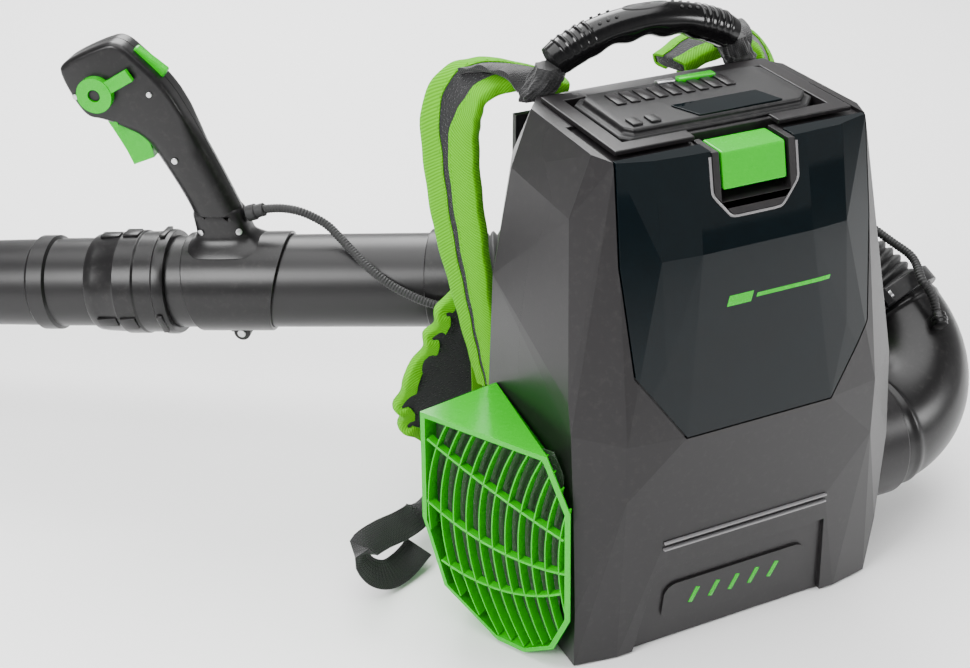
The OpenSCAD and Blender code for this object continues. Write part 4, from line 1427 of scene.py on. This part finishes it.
class BLOWER_OT_harness(bpy.types.Operator):
    """Back frame, back pad, shoulder straps, hip belt and its webbing tail"""

    bl_idname = "blower.harness"
    bl_label = "Harness"
    bl_options = {"REGISTER", "UNDO"}

    def execute(self, context):
        moulded("back_frame", 0.002)
        moulded("strap_adjusters", 0.0012)
        self.back_pad()
        for word, stations in (("left", STRAP_LEFT), ("right", STRAP_RIGHT)):
            self.shoulder_strap(word, Strap(stations))
        self.wing("left", WING_LEFT, 169, 3.0)
        self.wing("right", WING_RIGHT, 153, 1.5)
        self.tail()
        self.top_webbing(-1)
        self.top_webbing(1)
        return {"FINISHED"}

    def shoulder_strap(self, word, strap):
        """Pad, bindings and stitches of one strap"""
        half = sizes().strap_thickness / 2
        reach = sizes().binding_width
        edge, middle = half * 0.62, half * 0.92
        name = "shoulder_strap_" + word
        pad = strap_pad(name + "_pad", strap, "pad_mesh", "root", middle, edge)
        centres = strap.centres

        def held(point):
            i = min(range(len(centres)), key=lambda k: (centres[k] - point).length_squared)
            local = strap.turns[i].transposed() @ (point - centres[i])
            under_tape = strap.widths[i] / 2 - tape_reach(strap, i, reach) - 0.002
            return abs(local.x) > under_tape or i in (0, len(centres) - 1)

        puffed(pad, held, 3 * MM)
        finished_pad(pad, name)
        for side, edge_word in ((-1, "front"), (1, "rear")):
            strap_tape(name + "_tape_" + edge_word, strap, side, "root", reach, middle, edge)
        strap_stitches(name + "_stitches", strap, "root", reach, middle, edge)

    def back_pad(self):
        """Back cushion with three sewn channels and a spine groove"""
        outline = cut_corners([Vector(p) for p in ((-94, 60), (94, 60), (94, 400), (-94, 400))],
                              3, 0.1)
        outline = closed_even(anticlockwise(outline), 6)
        rings = []
        for y, depth in ((94, 6), (94, 0), (100, 0), (106, 5), (111, 14)):
            rings.append([Vector((p.x, y, p.y)) * MM for p in inset_outline(outline, depth)])
        pad = new_piece("back_pad_cushion", loft(rings), "pad_mesh", "root")
        remeshed(pad, PAD_VOXEL)
        puffed(pad, lambda p: p.y < 0.100, 6 * MM)
        for vertex in pad.data.vertices:
            x, y, z = vertex.co / MM
            if y > 100:
                dip = max(math.exp(-((z - level) / 5) ** 2) for level in (145, 230, 315))
                dip = max(dip, math.exp(-(x / 5) ** 2))
                vertex.co.y -= 0.006 * dip * min(1, (y - 100) / 8)
        finished_pad(pad, "back_pad")

    def wing(self, word, polygon, y_mid, wave):
        """One side of the hip belt, wavy at its free edge"""
        outline = anticlockwise([Vector(p) for p in polygon])
        outline = closed_even(cut_corners(outline, 2), 3.5)
        inner = min(p.x for p in outline) if word == "right" else max(p.x for p in outline)
        lifts = []
        for k, p in enumerate(outline):
            free = min(1, abs(p.x - inner) / 25)
            lifts.append(wave * free * math.sin(k * 0.62 + 1.1 * math.sin(k * 0.23)))
        waved = [p + (q - p) * (1.0 + lifts[(k + 2) % len(lifts)])
                 for k, (p, q) in enumerate(zip(outline, inset_outline(outline, 1.0)))]
        rings = []
        for depth, y in ((14, -5.6), (8, -5.0), (3, -4), (3, 4), (8, 5.0), (14, 5.6)):
            rings.append([Vector((p.x, y_mid + y + lifts[k] * BELT_WAVE, p.y)) * MM
                          for k, p in enumerate(inset_outline(waved, depth))])
        name = "hip_belt_" + word
        pad = new_piece(name + "_pad", loft(rings), "pad_mesh", "root")
        remeshed(pad, PAD_VOXEL)
        flat = [Vector((p.x, p.y)) * MM for p in waved]

        def held(point):
            return min((Vector((point.x, point.z)) - p).length for p in flat) < 0.011

        puffed(pad, held, 4 * MM)
        finished_pad(pad)
        self.wing_tape(name, waved, y_mid, lifts)
        x, deep = (-100, 80) if word == "left" else (100, 64)
        link = joined(name + "_link", [small_box(
            Vector((x, 94 + deep / 2, 112)) * MM, Matrix.Identity(3),
            (0.0065, deep * MM, 0.058), 0.0015)], "webbing", "root")
        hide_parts(name)

    def wing_tape(self, name, outline, y_mid, lifts):
        """Binding round a hip pad"""
        count = len(outline)
        reach = sizes().binding_width * 0.8
        section = tape_section(0.0, reach / MM, 1.1,
                               lambda x: 4.2 + 1.6 * min(1.0, -x / 10))
        rings = []
        for k in range(count + 1):
            a, b, c = (outline[(k + j) % count] for j in (-1, 0, 1))
            ahead = (c - a).normalized()
            out = Vector((ahead.y, -ahead.x))
            ring = []
            for x, y in section:
                far = b + out * (x - 0.5)
                ring.append(Vector((far.x, y_mid + y + lifts[k % count] * BELT_WAVE, far.y)) * MM)
            rings.append(ring)
        bm = loft(rings, caps=False)
        bmesh.ops.remove_doubles(bm, verts=bm.verts, dist=1e-5)
        new_piece(name + "_tape", bm, "webbing", "root", smooth=50, finish="binding")

    def top_webbing(self, side):
        """Webbing that joins a shoulder strap's top to the carry handle"""
        points = smooth_path([Vector((side * x, y, z)) * MM for x, y, z in (
            (97, 90, 441), (101, 97, 447), (106, 106, 449), (111, 118, 448), (117, 132, 445),
            (122, 146, 438))], 0.003)
        rings = []
        for k, point in enumerate(points):
            turn = turn_to(heading(points, k), (1, 0.2, 0.15 * side))
            fold = 1.5 * math.sin(k * 0.8)
            rings.append(placed(point, turn, [(x * MM, y * MM) for x, y in (
                (-17, -2 + fold), (-6, -3.5), (6, -3 - fold * 0.5), (17, -2), (17.5, 0), (16, 2.5),
                (6, 2), (-6, 3 + fold), (-16, 2), (-17.5, 0))]))
        new_piece("haul_webbing_" + ("left" if side < 0 else "right"), loft(rings), "webbing",
                  "root", smooth=60)

    def tail(self):
        """Loose end of the belt's webbing, turned back on itself"""
        points = smooth_path([Vector(p) * MM for p in TAIL], 0.004)
        rings = []
        for i, point in enumerate(points):
            rings.append(placed(point, turn_to(heading(points, i), (0.5, 0.8, 0.3)), [
                (-0.014, -0.0006), (-0.013, -0.0011), (0.013, -0.0011), (0.014, -0.0006),
                (0.014, 0.0006), (0.013, 0.0011), (-0.013, 0.0011), (-0.014, 0.0006)]))
        tail = new_piece("belt_webbing_tail", loft(rings), "webbing", "root", smooth=60)
        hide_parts("belt_tail")


LAMPS = (
    ("key softbox", (-2.3, -0.7, 1.8), 1.1, 95), ("fill softbox", (1.9, -1.5, 1.1), 0.7, 34),
    ("back strip", (0.4, 2.1, 1.8), 1.4, 80), ("top sheet", (0.0, 0.6, 5.0), 6.0, 560))
LAMP_TARGET = Vector((0, 0, 0.2))
CAMERA_PLACE = Vector((-0.6314, -0.9532, 0.8881))
CAMERA_COURSE = Vector((0.3694, 0.7814, -0.503))
CAMERA_LENS = 56.45


class BLOWER_OT_stage(bpy.types.Operator):
    """Pale floor, soft studio light and the camera"""

    bl_idname = "blower.stage"
    bl_label = "Stage"
    bl_options = {"REGISTER", "UNDO"}

    def execute(self, context):
        scene = bpy.context.scene
        finish = Finish("pale floor", roughness=0.6)
        cloud = finish.cloud(finish.point(), 2.0, 2.0)
        finish.feed("Base Color", finish.blend(cloud, (0.86, 0.86, 0.86), (0.90, 0.90, 0.90)))
        bm = bmesh.new()
        bmesh.ops.create_grid(bm, x_segments=1, y_segments=1, size=60)
        bmesh.ops.translate(bm, vec=(0, 0, -0.001), verts=bm.verts)
        staged = [placed_object("floor", bm, finish.material)]

        scene.world = self.studio()
        for name, place, size, power in LAMPS:
            light = bpy.data.lights.new(name, "AREA")
            light.size = size
            light.energy = power
            lamp = bpy.data.objects.new(name, light)
            self.aim(lamp, place, LAMP_TARGET - Vector(place))
            staged.append(lamp)
        camera = bpy.data.objects.new("camera", bpy.data.cameras.new("camera"))
        camera.data.lens = CAMERA_LENS
        camera.data.sensor_width = 36
        self.aim(camera, CAMERA_PLACE, CAMERA_COURSE)
        scene.camera = camera
        return {"FINISHED"}


    def aim(self, thing, place, course):
        """Puts a lamp or the camera in the scene, looking along its course"""
        thing.location = place
        thing.rotation_mode = "QUATERNION"
        thing.rotation_quaternion = course.to_track_quat("-Z", "Y")
        bpy.context.scene.collection.objects.link(thing)

    def studio(self):
        """White room light, brighter at floor height than overhead"""
        world = bpy.data.worlds.new("studio")
        world.use_nodes = True
        tree = world.node_tree
        sky = tree.nodes["Background"]
        sky.inputs[0].default_value = (1, 1, 1, 1)
        where = tree.nodes.new("ShaderNodeTexCoord")
        height = tree.nodes.new("ShaderNodeSeparateXYZ")
        fade = tree.nodes.new("ShaderNodeMapRange")
        fade.interpolation_type = "SMOOTHSTEP"
        for socket, value in ((1, -0.02), (2, 0.75), (3, 0.75), (4, 0.2)):
            fade.inputs[socket].default_value = value
        tree.links.new(where.outputs["Generated"], height.inputs[0])
        tree.links.new(height.outputs[2], fade.inputs[0])
        tree.links.new(fade.outputs[0], sky.inputs[1])
        return world


PARTS = (
    BLOWER_OT_cable, BLOWER_OT_harness, BLOWER_OT_housing, BLOWER_OT_guard, BLOWER_OT_fan,
    BLOWER_OT_battery, BLOWER_OT_elbow, BLOWER_OT_hose, BLOWER_OT_wand, BLOWER_OT_grip,
    BLOWER_OT_carry_handle, BLOWER_OT_stage)


class BLOWER_PT_panel(bpy.types.Panel):
    """The blower's parts, sizes and colours"""

    bl_idname = "BLOWER_PT_panel"
    bl_label = "Backpack blower"
    bl_space_type = "VIEW_3D"
    bl_region_type = "UI"
    bl_category = "Blower"

    def draw(self, context):
        for part in PARTS:
            self.layout.operator(part.bl_idname)
        for group in (context.scene.blower_sizes, context.scene.blower_colours):
            for key in group.__annotations__:
                self.layout.prop(group, key)


CLASSES = (BlowerColours, BlowerSizes, *PARTS, BLOWER_PT_panel)


def register():
    for cls in CLASSES:
        bpy.utils.register_class(cls)
    bpy.types.Scene.blower_colours = bpy.props.PointerProperty(type=BlowerColours)
    bpy.types.Scene.blower_sizes = bpy.props.PointerProperty(type=BlowerSizes)


def unregister():
    del bpy.types.Scene.blower_sizes
    del bpy.types.Scene.blower_colours
    for cls in reversed(CLASSES):
        bpy.utils.unregister_class(cls)


def main():
    register()
    make_finishes()
    bpy.ops.blower.stage()
    bpy.ops.blower.cable()
    bpy.ops.blower.harness()
    bpy.ops.blower.housing()
    bpy.ops.blower.guard()
    bpy.ops.blower.fan()
    bpy.ops.blower.battery()
    bpy.ops.blower.elbow()
    bpy.ops.blower.hose()
    bpy.ops.blower.wand()
    bpy.ops.blower.grip()
    bpy.ops.blower.carry_handle()


if __name__ == "__main__":
    main()
